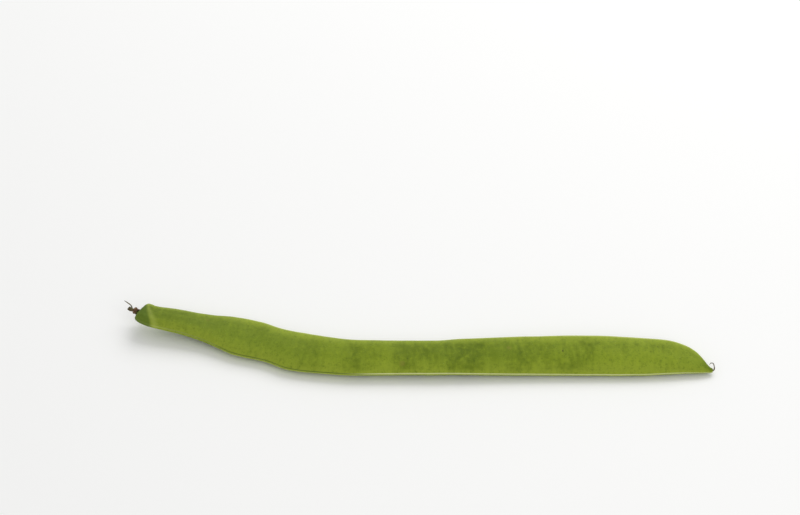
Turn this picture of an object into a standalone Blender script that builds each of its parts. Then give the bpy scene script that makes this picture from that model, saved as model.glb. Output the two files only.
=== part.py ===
"""Green bean: one flat slicing bean, as picked, lying on its broad side.

Metres, +Z up. The pod runs along +X, from its stem end to its tip. Its near edge, towards -Y, is
the seam that carries the seeds and ends in the beak. The origin is the middle of the bean's
bounding box, on the surface that the pod rests on.

The pod is a row of closed rings round a bowed middle line. A ring's two edges, its half thickness
and its roll follow a few knots along the pod, and the seeds' swellings and the seams are formulas
on top of that. The calyx is an offset of the pod's own neck, so it fits round it all the way.
"""

import math

import bmesh
import bpy
import numpy as np

# Knots along the pod: distance from its blunt stem end, then the value there, in metres or degrees.
# The neck is behind the blunt end, at distances below zero, and the beak ends at POD_LENGTH.
NECK_END = -0.0020
POD_LENGTH = 0.2495
# Sideways place of the middle line, seen from above: the stem third bows away
BOW = [(-0.0020, 0.0252), (0.020, 0.0202), (0.040, 0.0147), (0.058, 0.0082), (0.075, 0.0030)]
BOW += [(0.098, 0.0002), (0.125, 0.0000), (0.170, 0.0006), (0.205, 0.0010), (0.250, 0.0008)]
# Height of the underside over the surface: the stem end rises, and the tip a little
LIFT = [(-0.0020, 0.0063), (0.004, 0.0046), (0.020, 0.0026), (0.034, 0.0004), (0.042, 0.0000)]
LIFT += [(0.215, 0.0000), (0.235, 0.0005), (0.2495, 0.0012)]
# Roll about the middle line: positive lifts the far edge and turns the face to the near side
ROLL = [(-0.0020, -2.0), (0.030, -5.0), (0.048, 1.0), (0.065, 3.0), (0.090, 1.0), (0.130, -1.0)]
ROLL += [(0.165, 4.0), (0.200, 7.5), (0.230, 7.0), (0.250, 4.0)]
# Slant of each ring: how far its far side leans forward, as a share of the distance sideways
SLANT = [(-0.0020, 0.30), (0.003, 0.30), (0.016, 0.0), (0.250, 0.0)]
# Distance of the far edge and of the near edge from the middle line
FAR_EDGE = [(-0.0020, 0.0027), (-0.0010, 0.0024), (-0.0002, 0.0026), (0.0001, 0.0046)]
FAR_EDGE += [(0.0004, 0.0059), (0.0010, 0.0063), (0.0054, 0.0053), (0.0128, 0.0062), (0.022, 0.0070)]
FAR_EDGE += [(0.030, 0.0090), (0.040, 0.0113), (0.050, 0.0114), (0.062, 0.0101), (0.072, 0.0106)]
FAR_EDGE += [(0.095, 0.0100), (0.130, 0.0100), (0.141, 0.0109), (0.166, 0.0111), (0.192, 0.0109)]
FAR_EDGE += [(0.208, 0.0103), (0.222, 0.0095), (0.232, 0.0084), (0.2385, 0.0063), (0.2430, 0.0032)]
FAR_EDGE += [(0.2460, -0.0009), (0.2476, -0.0036), (0.2487, -0.0050), (0.2495, -0.0054)]
NEAR_EDGE = [(-0.0020, -0.0010), (-0.0013, -0.0011), (-0.0007, -0.0010), (-0.0002, 0.0008)]
NEAR_EDGE += [(0.0008, 0.0034), (0.0024, 0.0050), (0.0052, 0.0060), (0.0095, 0.0066), (0.020, 0.0067)]
NEAR_EDGE += [(0.030, 0.0072), (0.039, 0.0089), (0.046, 0.0100), (0.059, 0.0092), (0.070, 0.0107)]
NEAR_EDGE += [(0.090, 0.0102), (0.130, 0.0099), (0.170, 0.0100), (0.205, 0.0103), (0.222, 0.0098)]
NEAR_EDGE += [(0.238, 0.0086), (0.2475, 0.0078), (0.2487, 0.0076), (0.2495, 0.0071)]
# Half thickness through the broad faces, with a shoulder close behind the blunt end
HALF_THICKNESS = [(-0.0020, 0.0009), (-0.0012, 0.0007), (-0.0004, 0.0007), (0.0002, 0.0015)]
HALF_THICKNESS += [(0.0008, 0.0023), (0.0022, 0.0029), (0.0045, 0.0032), (0.009, 0.0032)]
HALF_THICKNESS += [(0.030, 0.0036), (0.070, 0.0038), (0.130, 0.0038), (0.200, 0.0038)]
HALF_THICKNESS += [(0.228, 0.0033), (0.240, 0.0024), (0.2465, 0.0015), (0.2495, 0.0008)]

# Rings: first place, last place and how many, with a finer row at each end
STEM_RINGS = (NECK_END, 0.010, 34)
BODY_RINGS = (0.010, 0.232, 64)
TIP_RINGS = (0.232, POD_LENGTH, 18)
RING_POINTS = 32
SECTION_FULLNESS = 2.25    # 2 is an ellipse, and more is flatter faced with rounder edges
SLOPE_REACH = 0.001        # how far each way the middle line's slope is measured

# Seeds: their middles along the pod, and the low swelling that each makes on both faces
SEED_PLACES = (0.021, 0.042, 0.065, 0.087, 0.108, 0.130, 0.157, 0.180, 0.203, 0.222)
SEED_HEIGHT = 0.00055
SEED_LENGTH = 0.0062
SEED_BREADTH = 0.0052
SEED_ROOM = (0.0015, 0.0015)    # half thickness where swellings start, and the rise to their full height
PRESS = 0.00028            # how far the pod's own weight flattens its lowest swellings

# Seams: a raised bead along each edge, with a groove down the middle of the near one
BEAD_HEIGHT = 0.00042
BEAD_ANGLE = 0.30
GROOVE_DEPTH = 0.00070
GROOVE_ANGLE = 0.10
SEAM_ALONG = (0.006, 0.012)     # place where the seams start, and the length over which they rise
SEAM_ROOM = (0.0012, 0.004)     # half width where the seams start, and the rise to their full height

# Calyx: a dry cup round the neck, open towards the pod, with pointed teeth on its rim
GAP = 0.0003
CALYX_WALL = 0.0004
CALYX_BACK = 0.0008
CALYX_RIM = 0.0008
CALYX_TOOTH = 0.0005
CALYX_LOPSIDED = 0.30      # share by which the rim reaches further on the far side and less on the near
CALYX_TOOTH_POWER = 1.6    # 1 is a round lobe, and more is more pointed
CALYX_TEETH = 5
CALYX_FLARE = 0.0003
CALYX_POINTS = 40
CALYX_DOME = [(1.00, 0.45), (0.75, 0.82), (0.35, 1.00)]    # shares of the back's depth and breadth
CALYX_BULGE = 1.06         # share of the back's depth that its middle reaches
CALYX_WALL_SHARES = (0.20, 0.50, 0.75, 0.92)    # rings of the wall, between the neck's end and the rim

# Stalk: the pedicel's stub, a broken thicker end, and a torn strand beside it
STALK_RADIUS = 0.00070
STALK_END_RADIUS = 0.00088
STALK_SIDES = 14
STALK_POINTS = 12
STALK_STEPS = [(-0.0005, 0.0001, 0.0001), (-0.0009, 0.0002, 0.0003), (-0.0012, 0.0003, 0.0006)]
STRAND_RADIUS = 0.00036
STRAND_SIDES = 8
STRAND_STEPS = [(0.0000, 0.0006, 0.0010), (-0.0005, 0.0011, 0.0018), (-0.0017, 0.0016, 0.0026)]
STRAND_STEPS += [(-0.0032, 0.0021, 0.0035)]

# Style: the dry thread at the tip, which stands up and curls back over the pod
STYLE_RADIUS = 0.00042
STYLE_END_RADIUS = 0.00028
STYLE_SIDES = 8
STYLE_POINTS = 18
STYLE_STEPS = [(0.0001, 0.0005, 0.0008), (-0.0001, 0.0012, 0.0019), (-0.0006, 0.0018, 0.0026)]
STYLE_STEPS += [(-0.0014, 0.0019, 0.0026), (-0.0020, 0.0015, 0.0020)]
NOSE = 0.4                 # how far a stalk's or thread's end bulges, as a share of its radius

# Colour, roughness and metallic value of each piece
LOOKS = {
    "pod": ((0.180, 0.235, 0.028), 0.55, 0.0),
    "calyx": ((0.150, 0.062, 0.025), 0.80, 0.0),
    "stalk": ((0.090, 0.062, 0.038), 0.85, 0.0),
    "style": ((0.120, 0.110, 0.085), 0.80, 0.0),
}


def through(knots, places):
    """Smooth values at the places, on a curve through the knots that never overshoots them."""
    at, value = np.array(knots).T
    step = np.diff(at)
    slope = np.diff(value) / step
    tangent = np.zeros(len(at))
    tangent[0], tangent[-1] = slope[0], slope[-1]
    for i in range(1, len(at) - 1):
        if slope[i - 1] * slope[i] > 0:
            before, after = 2 * step[i] + step[i - 1], step[i] + 2 * step[i - 1]
            tangent[i] = (before + after) / (before / slope[i - 1] + after / slope[i])
    places = np.clip(places, at[0], at[-1])
    i = np.clip(np.searchsorted(at, places, side="right") - 1, 0, len(step) - 1)
    t = (places - at[i]) / step[i]
    start = (1 + 2 * t) * (1 - t) ** 2 * value[i] + t * (1 - t) ** 2 * step[i] * tangent[i]
    end = t**2 * (3 - 2 * t) * value[i + 1] + t**2 * (t - 1) * step[i] * tangent[i + 1]
    return start + end


def signed_power(base, power):
    return np.sign(base) * np.abs(base) ** power


def fade(value, start, width):
    """0 below start, 1 past start + width, and a smooth step between."""
    t = np.clip((value - start) / width, 0.0, 1.0)
    return t * t * (3 - 2 * t)


def middle_frames(along):
    """Middle line, and its unit vectors: forward, across to the far edge, and up through a face."""
    bow = through(BOW, along)
    before, after = along - SLOPE_REACH, along + SLOPE_REACH
    turn = (through(BOW, after) - through(BOW, before)) / (2 * SLOPE_REACH)
    rise = (through(LIFT, after) - through(LIFT, before)) / (2 * SLOPE_REACH)
    forward = np.stack([np.ones_like(along), turn, rise], axis=1)
    forward /= np.linalg.norm(forward, axis=1, keepdims=True)
    level = np.cross([0.0, 0.0, 1.0], forward)
    level /= np.linalg.norm(level, axis=1, keepdims=True)
    upright = np.cross(forward, level)
    roll = np.radians(through(ROLL, along))[:, None]
    across = level * np.cos(roll) + upright * np.sin(roll)
    up = np.cross(forward, across)
    thickness = through(HALF_THICKNESS, along)
    breadth = (through(FAR_EDGE, along) + through(NEAR_EDGE, along)) / 2
    support = np.hypot(breadth * np.sin(roll[:, 0]), thickness * np.cos(roll[:, 0]))
    height = support + SEED_HEIGHT - PRESS + through(LIFT, along)
    return np.stack([along, bow, height], axis=1), forward, across, up


def pod_rings(along, points=RING_POINTS):
    """One ring of points for each place along the pod: an array of rings, points and x, y, z."""
    middle, forward, across, up = middle_frames(along)
    far, near = through(FAR_EDGE, along), through(NEAR_EDGE, along)
    half_width = ((far + near) / 2)[:, None]
    offset = ((far - near) / 2)[:, None]
    half_thickness = through(HALF_THICKNESS, along)[:, None]
    angle = np.linspace(0, 2 * math.pi, points, endpoint=False)[None, :]
    side = signed_power(np.cos(angle), 2 / SECTION_FULLNESS) * half_width
    face = signed_power(np.sin(angle), 2 / SECTION_FULLNESS) * half_thickness

    seam = fade(along, *SEAM_ALONG)[:, None] * fade(half_width, *SEAM_ROOM)
    from_edge = np.arcsin(np.abs(np.sin(angle)))
    bead = BEAD_HEIGHT * np.exp(-((from_edge / BEAD_ANGLE) ** 2))
    groove = GROOVE_DEPTH * np.exp(-((from_edge / GROOVE_ANGLE) ** 2)) * (np.cos(angle) < 0)
    side = side + np.sign(np.cos(angle)) * (bead - groove) * seam

    swelling = np.zeros_like(side)
    for place in SEED_PLACES:
        reach = ((along[:, None] - place) / SEED_LENGTH) ** 2 + (side / SEED_BREADTH) ** 2
        swelling += SEED_HEIGHT * np.exp(-reach / 2)
    face = face + np.sin(angle) * swelling * fade(half_thickness, *SEED_ROOM)

    side, face = (side + offset)[..., None], face[..., None]
    lean = side * through(SLANT, along)[:, None, None]
    rings = middle[:, None, :] + across[:, None, :] * side + up[:, None, :] * face
    rings += forward[:, None, :] * lean
    rings[..., 2] = np.maximum(rings[..., 2], 0.0)
    return rings


def body_from_rings(name, rings, start, end):
    """A closed body through rings of points, shut by a fan to a point at each end."""
    mesh = bpy.data.meshes.new(name)
    bm = bmesh.new()
    loops = [[bm.verts.new(point) for point in ring] for ring in rings]
    count = len(loops[0])
    for one, two in zip(loops, loops[1:]):
        for i in range(count):
            j = (i + 1) % count
            bm.faces.new((one[i], one[j], two[j], two[i]))
    for loop, point in ((loops[0], start), (loops[-1], end)):
        pole = bm.verts.new(point)
        for i in range(count):
            bm.faces.new((loop[i], loop[(i + 1) % count], pole))
    bmesh.ops.recalc_face_normals(bm, faces=bm.faces)
    bmesh.ops.triangulate(bm, faces=bm.faces, quad_method="SHORT_EDGE")
    bm.to_mesh(mesh)
    bm.free()
    mesh.shade_smooth()
    piece = bpy.data.objects.new(name, mesh)
    bpy.context.collection.objects.link(piece)
    return piece


def tube(name, points, radii, sides):
    """A round closed body along the points, with a rounded nose at each end."""
    points = np.array(points)
    forward = np.gradient(points, axis=0)
    forward /= np.linalg.norm(forward, axis=1, keepdims=True)
    across = np.cross(forward, [0.0, 1.0, 0.0])
    across /= np.linalg.norm(across, axis=1, keepdims=True)
    up = np.cross(forward, across)
    angle = np.linspace(0, 2 * math.pi, sides, endpoint=False)[None, :, None]
    radii = np.array(radii)[:, None, None]
    circle = across[:, None, :] * np.cos(angle) + up[:, None, :] * np.sin(angle)
    rings = points[:, None, :] + circle * radii
    start = points[0] - forward[0] * radii[0, 0] * NOSE
    end = points[-1] + forward[-1] * radii[-1, 0] * NOSE
    return body_from_rings(name, rings, start, end)


def curve_through(start, steps, count):
    """Points on a smooth curve from the start through the steps, which are measured from it."""
    knots = np.array([(0.0, 0.0, 0.0), *steps])
    reach = np.concatenate([[0], np.cumsum(np.linalg.norm(np.diff(knots, axis=0), axis=1))])
    places = np.linspace(0, reach[-1], count)
    columns = [through(list(zip(reach, knots[:, k])), places) for k in range(3)]
    return np.array(start) + np.stack(columns, axis=1)


def make_pod():
    along = np.concatenate([
        np.linspace(*STEM_RINGS[:2], STEM_RINGS[2], endpoint=False),
        np.linspace(*BODY_RINGS[:2], BODY_RINGS[2], endpoint=False),
        np.linspace(*TIP_RINGS),
    ])
    rings = pod_rings(along)
    return body_from_rings("pod", rings, rings[0].mean(axis=0), rings[-1].mean(axis=0))


def make_calyx():
    """Two walls at a set distance outside the neck, joined at the toothed rim, and a domed back."""
    angle = np.linspace(0, 2 * math.pi, CALYX_POINTS, endpoint=False)
    rim = CALYX_RIM + CALYX_TOOTH * np.abs(np.cos(angle * CALYX_TEETH / 2)) ** CALYX_TOOTH_POWER
    rim *= 1 + CALYX_LOPSIDED * np.cos(angle)
    end = pod_rings(np.array([NECK_END]), CALYX_POINTS)[0]
    middle = end.mean(axis=0)
    forward = middle_frames(np.array([NECK_END]))[1][0]

    def wall(share, distance):
        """A ring at a share of the way from the neck's end to the rim, that far off the pod."""
        rows = pod_rings(NECK_END + rim * share, CALYX_POINTS)
        surface = np.diagonal(rows, axis1=0, axis2=1).T
        outward = surface - rows.mean(axis=1)
        outward /= np.linalg.norm(outward, axis=1, keepdims=True)
        return surface + outward * (distance + CALYX_FLARE * share**3)

    outer = wall(0.0, GAP + CALYX_WALL) - middle
    rings = [middle - forward * CALYX_BACK * depth + outer * breadth for depth, breadth in CALYX_DOME]
    rings += [wall(share, GAP + CALYX_WALL) for share in CALYX_WALL_SHARES]
    rings += [wall(1.0, GAP + CALYX_WALL / 2)]
    rings += [wall(share, GAP) for share in (*reversed(CALYX_WALL_SHARES), 0.0)]
    rings += [end - forward * GAP]
    back = middle - forward * CALYX_BACK * CALYX_BULGE
    return body_from_rings("calyx", rings, back, middle - forward * GAP)


def make_stalk():
    neck_end = np.array([NECK_END])
    back = CALYX_BACK * CALYX_BULGE + GAP + STALK_RADIUS * NOSE
    start = pod_rings(neck_end)[0].mean(axis=0) - middle_frames(neck_end)[1][0] * back
    points = curve_through(start, STALK_STEPS, STALK_POINTS)
    swell = np.linspace(0, 1, STALK_POINTS) ** 2
    radii = STALK_RADIUS + (STALK_END_RADIUS - STALK_RADIUS) * swell
    stub = tube("stalk", points, radii, STALK_SIDES)
    strand_points = curve_through(points[1], STRAND_STEPS, STALK_POINTS)
    strand = tube("strand", strand_points, np.full(STALK_POINTS, STRAND_RADIUS), STRAND_SIDES)
    join = stub.modifiers.new("strand", "BOOLEAN")
    join.operation = "UNION"
    join.object = strand
    graph = bpy.context.evaluated_depsgraph_get()
    joined = bpy.data.meshes.new_from_object(stub.evaluated_get(graph))
    stub.modifiers.clear()
    stub.data = joined
    joined.shade_smooth()
    bpy.data.objects.remove(strand)
    return stub


def make_style():
    tip_ring = pod_rings(np.array([POD_LENGTH]))[0]
    start = tip_ring.mean(axis=0) + np.array([GAP + STYLE_RADIUS, 0.0, 0.0])
    points = curve_through(start, STYLE_STEPS, STYLE_POINTS)
    radii = np.linspace(STYLE_RADIUS, STYLE_END_RADIUS, STYLE_POINTS)
    return tube("style", points, radii, STYLE_SIDES)


def give_material(piece):
    colour, roughness, metallic = LOOKS[piece.name]
    material = bpy.data.materials.new(piece.name)
    material.use_nodes = True
    shader = material.node_tree.nodes["Principled BSDF"]
    shader.inputs["Base Color"].default_value = (*colour, 1.0)
    shader.inputs["Roughness"].default_value = roughness
    shader.inputs["Metallic"].default_value = metallic
    piece.data.materials.clear()
    piece.data.materials.append(material)


def centre(pieces):
    """Hangs the pieces on an empty, so that the origin is the middle of their box, at its foot."""
    points = np.array([vertex.co for piece in pieces for vertex in piece.data.vertices])
    low, high = points.min(axis=0), points.max(axis=0)
    bean = bpy.data.objects.new("bean", None)
    bean.empty_display_size = 0.02
    bean.location = (-(low[0] + high[0]) / 2, -(low[1] + high[1]) / 2, -low[2])
    bpy.context.collection.objects.link(bean)
    for piece in pieces:
        piece.parent = bean


def main():
    for thing in list(bpy.data.objects):
        bpy.data.objects.remove(thing)
    pieces = [make_pod(), make_calyx(), make_stalk(), make_style()]
    for piece in pieces:
        give_material(piece)
    centre(pieces)


main()
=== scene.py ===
# %% [markdown]
# Green bean: how one flat slicing bean gets its looks
#
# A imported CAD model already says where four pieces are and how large: the pod, the dry calyx at its
# stem end, the stub of the stalk, and the thread that is left of the flower's style at the tip.
# This script puts a finer piece in the place of each, gives it skin, veins, hairs and colour, and
# lays the bean on a pale floor under soft light. Lengths are in metres, with +X from stem end to tip.

import math
from types import SimpleNamespace

import bmesh
import bpy
import numpy as np
from mathutils import Matrix, Vector, noise
from mathutils.bvhtree import BVHTree


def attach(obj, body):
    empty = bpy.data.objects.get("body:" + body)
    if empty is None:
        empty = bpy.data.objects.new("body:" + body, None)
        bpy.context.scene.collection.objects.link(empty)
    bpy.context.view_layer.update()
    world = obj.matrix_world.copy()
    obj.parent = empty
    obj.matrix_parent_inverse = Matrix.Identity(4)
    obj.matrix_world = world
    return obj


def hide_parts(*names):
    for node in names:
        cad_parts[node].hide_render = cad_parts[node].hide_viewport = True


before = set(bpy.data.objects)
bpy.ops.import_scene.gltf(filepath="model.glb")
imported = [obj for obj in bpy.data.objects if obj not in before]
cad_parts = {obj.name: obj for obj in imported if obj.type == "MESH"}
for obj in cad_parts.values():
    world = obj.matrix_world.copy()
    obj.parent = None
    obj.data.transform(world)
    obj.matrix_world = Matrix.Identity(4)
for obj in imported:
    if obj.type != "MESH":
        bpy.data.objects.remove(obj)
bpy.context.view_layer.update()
print("CAD nodes:", ", ".join(sorted(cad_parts)))

# %% [markdown]
# Writing node trees as sums
#
# Both Geometry Nodes and materials are built in this script, so each tree can be read here. A Math
# node by hand takes four lines. The small class below stands for one output of a node, and its signs
# add the Math node, so that a formula in a tree looks like a formula. The other way, nodes placed in
# the editor and saved in a file, would hide them from the reader.

# %% A node's output as a number
class Field:
    """One output of a node. A sign such as + or * adds a Math node to its tree."""

    def __init__(self, socket):
        self.socket = socket
        self.tree = socket.id_data

    def math(self, operation, *others):
        return add(self.tree, "ShaderNodeMath", dict(enumerate((self, *others))), operation=operation)

    def __add__(self, other):
        return self.math("ADD", other)

    def __sub__(self, other):
        return self.math("SUBTRACT", other)

    def __mul__(self, other):
        return self.math("MULTIPLY", other)

    def __truediv__(self, other):
        return self.math("DIVIDE", other)

    def __pow__(self, power):
        return self.math("POWER", power)

    def __rsub__(self, other):
        return self * -1 + other

    def __rtruediv__(self, other):
        return self**-1 * other

    __radd__ = __add__
    __rmul__ = __mul__

    def size(self):
        return self.math("ABSOLUTE")

    def signed_power(self, power):
        return self.math("SIGN") * self.size() ** power

    def bell(self, width):
        """1 where this is 0, and fading on both sides over about that width."""
        share = self / width
        return (share * share * -1).math("EXPONENT")

    def ramp(self, low, high, start=0.0, end=1.0):
        """A smooth step: start where this is low or less, end where it is high or more."""
        values = {"Value": self, "From Min": low, "From Max": high, "To Min": start, "To Max": end}
        return add(self.tree, "ShaderNodeMapRange", values, interpolation_type="SMOOTHSTEP")

    def plus(self, vector):
        return add(self.tree, "ShaderNodeVectorMath", {0: self, 1: vector}, operation="ADD")

    def scaled(self, amount):
        return add(self.tree, "ShaderNodeVectorMath", {0: self, "Scale": amount}, operation="SCALE")


def add(tree, kind, inputs=None, output=0, **settings):
    """Adds a node. An input is named or numbered, and takes a field, which is linked, or a value."""
    node = tree.nodes.new(kind)
    for name, value in settings.items():
        setattr(node, name, value)
    for name, value in (inputs or {}).items():
        if isinstance(value, Field):
            tree.links.new(value.socket, node.inputs[name])
        else:
            node.inputs[name].default_value = value
    return Field(node.outputs[output])


def split(vector):
    """The x, y and z of a vector field."""
    parts = add(vector.tree, "ShaderNodeSeparateXYZ", {"Vector": vector}).socket.node
    return [Field(socket) for socket in parts.outputs]


def join(tree, x, y, z):
    return add(tree, "ShaderNodeCombineXYZ", {"X": x, "Y": y, "Z": z})


def grain(vector, size, detail=2.0, seed=0.0):
    """Noise from about -1 to 1, whose spots are about that many metres across."""
    values = {"Vector": vector, "W": seed, "Scale": 1 / size, "Detail": detail}
    return add(vector.tree, "ShaderNodeTexNoise", values, noise_dimensions="4D") * 2 - 1


print("Field helpers are ready")

# %% [markdown]
# Geometry Nodes as a recipe that runs once
#
# A tree with named inputs is a recipe for a whole family of pieces. It runs as a modifier, and then
# its result is kept as a plain mesh, because only plain meshes leave Blender whole. It could also stay
# live on its object, to be tuned by hand, but this script starts from nothing each time. The inputs
# are set by each socket's identifier before the first run, as a socket's name is only a label.

# %% Make a tree, and run it on a mesh
SOCKETS = {float: "NodeSocketFloat", int: "NodeSocketInt", type(None): "NodeSocketMaterial"}


def new_geometry_tree(name, settings):
    """An empty tree with one input for each setting. A setting with no value is a material."""
    tree = bpy.data.node_groups.new(name, "GeometryNodeTree")
    tree.interface.new_socket("Geometry", in_out="INPUT", socket_type="NodeSocketGeometry")
    tree.interface.new_socket("Geometry", in_out="OUTPUT", socket_type="NodeSocketGeometry")
    for label, value in settings.items():
        socket = tree.interface.new_socket(label, in_out="INPUT", socket_type=SOCKETS[type(value)])
        if value is not None:
            socket.default_value = value
    ports = tree.nodes.new("NodeGroupInput").outputs
    return tree, {port.name: Field(port) for port in ports if port.name}


def end_tree(tree, geometry, material):
    """Every tree ends the same way: real faces, smooth shading and a material."""
    real = add(tree, "GeometryNodeRealizeInstances", {"Geometry": geometry})
    smooth = add(tree, "GeometryNodeSetShadeSmooth", {"Geometry": real})
    painted = add(tree, "GeometryNodeSetMaterial", {"Geometry": smooth, "Material": material})
    tree.links.new(painted.socket, tree.nodes.new("NodeGroupOutput").inputs[0])


def grow(name, base, tree, **settings):
    """Runs the tree on a base mesh and returns an object that holds the result as a plain mesh."""
    piece = bpy.data.objects.new(name, base)
    bpy.context.scene.collection.objects.link(piece)
    modifier = piece.modifiers.new(tree.name, "NODES")
    modifier.node_group = tree
    for socket in tree.interface.items_tree:
        key = socket.name.lower().replace(" ", "_")
        if socket.in_out == "INPUT" and key in settings:
            modifier[socket.identifier] = settings[key]
    graph = bpy.context.evaluated_depsgraph_get()
    result = bpy.data.meshes.new_from_object(
        piece.evaluated_get(graph), preserve_all_data_layers=True, depsgraph=graph
    )
    piece.modifiers.clear()
    piece.data = result
    result.name = name
    print(f"{name}: {len(result.vertices)} points, {len(result.polygons)} faces")
    return piece


print(f"a tree's inputs are of {len(SOCKETS)} kinds: a measure, a count or a material")

# %% [markdown]
# The pod's measures
#
# A flat bean pod is two valves joined along two seams. The far seam is plain. The near one carries
# the seeds, so it is thicker and has a groove down its middle, and it runs straight on into the beak.
# Every width, bend and roll below is a knot on a smooth curve along the pod: the place from the blunt
# stem end, then the value there. A few knots are easier to correct than a traced outline.

# %% Knots along the pod
NECK_END = -0.0020
POD_LENGTH = 0.2495
BOW = [(-0.0020, 0.0252), (0.020, 0.0202), (0.040, 0.0147), (0.058, 0.0082), (0.075, 0.0030)]
BOW += [(0.098, 0.0002), (0.125, 0.0000), (0.170, 0.0006), (0.205, 0.0010), (0.250, 0.0008)]
LIFT = [(-0.0020, 0.0063), (0.004, 0.0046), (0.020, 0.0026), (0.034, 0.0004), (0.042, 0.0000)]
LIFT += [(0.215, 0.0000), (0.235, 0.0005), (0.2495, 0.0012)]
ROLL = [(-0.0020, -2.0), (0.030, -5.0), (0.048, 1.0), (0.065, 3.0), (0.090, 1.0), (0.130, -1.0)]
ROLL += [(0.165, 4.0), (0.200, 7.5), (0.230, 7.0), (0.250, 4.0)]
SLANT = [(-0.0020, 0.30), (0.003, 0.30), (0.016, 0.0), (0.250, 0.0)]
FAR_EDGE = [(-0.0020, 0.0027), (-0.0010, 0.0024), (-0.0002, 0.0026), (0.0001, 0.0046)]
FAR_EDGE += [(0.0004, 0.0059), (0.0010, 0.0063), (0.0054, 0.0053), (0.0128, 0.0062), (0.022, 0.0070)]
FAR_EDGE += [(0.030, 0.0090), (0.040, 0.0113), (0.050, 0.0114), (0.062, 0.0101), (0.072, 0.0106)]
FAR_EDGE += [(0.095, 0.0100), (0.130, 0.0100), (0.141, 0.0109), (0.166, 0.0111), (0.192, 0.0109)]
FAR_EDGE += [(0.208, 0.0103), (0.222, 0.0095), (0.232, 0.0084), (0.2385, 0.0063), (0.2430, 0.0032)]
FAR_EDGE += [(0.2460, -0.0009), (0.2476, -0.0036), (0.2487, -0.0050), (0.2495, -0.0054)]
NEAR_EDGE = [(-0.0020, -0.0010), (-0.0013, -0.0011), (-0.0007, -0.0010), (-0.0002, 0.0008)]
NEAR_EDGE += [(0.0008, 0.0034), (0.0024, 0.0050), (0.0052, 0.0060), (0.0095, 0.0066), (0.020, 0.0067)]
NEAR_EDGE += [(0.030, 0.0072), (0.039, 0.0089), (0.046, 0.0100), (0.059, 0.0092), (0.070, 0.0107)]
NEAR_EDGE += [(0.090, 0.0102), (0.130, 0.0099), (0.170, 0.0100), (0.205, 0.0103), (0.222, 0.0098)]
NEAR_EDGE += [(0.238, 0.0086), (0.2475, 0.0078), (0.2487, 0.0076), (0.2495, 0.0071)]
HALF_THICKNESS = [(-0.0020, 0.0009), (-0.0012, 0.0007), (-0.0004, 0.0007), (0.0002, 0.0015)]
HALF_THICKNESS += [(0.0008, 0.0023), (0.0022, 0.0029), (0.0045, 0.0032), (0.009, 0.0032)]
HALF_THICKNESS += [(0.030, 0.0036), (0.070, 0.0038), (0.130, 0.0038), (0.200, 0.0038)]
HALF_THICKNESS += [(0.228, 0.0033), (0.240, 0.0024), (0.2465, 0.0015), (0.2495, 0.0008)]
SEED_PLACES = (0.021, 0.042, 0.065, 0.087, 0.108, 0.130, 0.157, 0.180, 0.203, 0.222)
SEED_HEIGHT = 0.00055
SEED_LENGTH = 0.0062
SEED_BREADTH = 0.0052
PRESS = 0.00028            # how much of a swelling is pressed flat on the floor
GROOVE_SHARE = [(0.0, 0.5), (0.035, 0.6), (0.048, 1.0), (0.066, 1.0), (0.080, 0.5), (0.250, 0.4)]
NECK_RIBS = 0.012
# Fades: where each starts, and how much further on it ends
SEED_ROOM = (0.0015, 0.0015)
SEAM_ALONG = (0.006, 0.012)
SEAM_ROOM = (0.0012, 0.004)
NECK_RIBS_FADE = (0.004, 0.030)
print(f"{len(SEED_PLACES)} seeds in {(POD_LENGTH - NECK_END) * 1000:.0f} mm of pod")

# %% [markdown]
# From knots to a spine
#
# The curve through the knots must not swing past them, or a narrow neck would get a waist that no
# bean has. A curve with handles would be as smooth, but they are a second set of numbers to keep
# right. So each knot's slope is worked out: it is the mean that keeps the curve between its
# neighbours. The spine is then one point for each ring of skin, and carries as attributes what the
# ring needs to know.

# %% The smooth curve and the spine
def through(knots, places):
    """Smooth values at the places, on a curve through the knots that never overshoots them."""
    at, value = np.array(knots).T
    step = np.diff(at)
    slope = np.diff(value) / step
    tangent = np.zeros(len(at))
    tangent[0], tangent[-1] = slope[0], slope[-1]
    for i in range(1, len(at) - 1):
        if slope[i - 1] * slope[i] > 0:
            before, after = 2 * step[i] + step[i - 1], step[i] + 2 * step[i - 1]
            tangent[i] = (before + after) / (before / slope[i - 1] + after / slope[i])
    places = np.clip(places, at[0], at[-1])
    i = np.clip(np.searchsorted(at, places, side="right") - 1, 0, len(step) - 1)
    t = (places - at[i]) / step[i]
    start = (1 + 2 * t) * (1 - t) ** 2 * value[i] + t * (1 - t) ** 2 * step[i] * tangent[i]
    end = t**2 * (3 - 2 * t) * value[i + 1] + t**2 * (t - 1) * step[i] * tangent[i + 1]
    return start + end


def fade(value, start, width):
    """0 below start, 1 past start + width, and a smooth step between."""
    t = np.clip((value - start) / width, 0.0, 1.0)
    return t * t * (3 - 2 * t)


def unit(vectors):
    return vectors / np.linalg.norm(vectors, axis=-1, keepdims=True)


def spine(name, middle, forward, across, **values):
    """A mesh of loose points, one for each ring, which carries each ring's values as attributes."""
    mesh = bpy.data.meshes.new(name)
    mesh.from_pydata([tuple(point) for point in middle], [], [])
    vectors = {"forward": forward, "across": across, "up": np.cross(forward, across)}
    for label, rows in vectors.items():
        attribute = mesh.attributes.new(label, "FLOAT_VECTOR", "POINT")
        attribute.data.foreach_set("vector", np.asarray(rows, np.float32).ravel())
    for label, rows in values.items():
        attribute = mesh.attributes.new(label, "FLOAT", "POINT")
        attribute.data.foreach_set("value", np.broadcast_to(rows, len(middle)).astype(np.float32))
    return mesh


half_way = [POD_LENGTH / 2]
width = through(FAR_EDGE, half_way)[0] + through(NEAR_EDGE, half_way)[0]
print(f"half way along, the pod is {width * 1000:.1f} mm wide")

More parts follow.
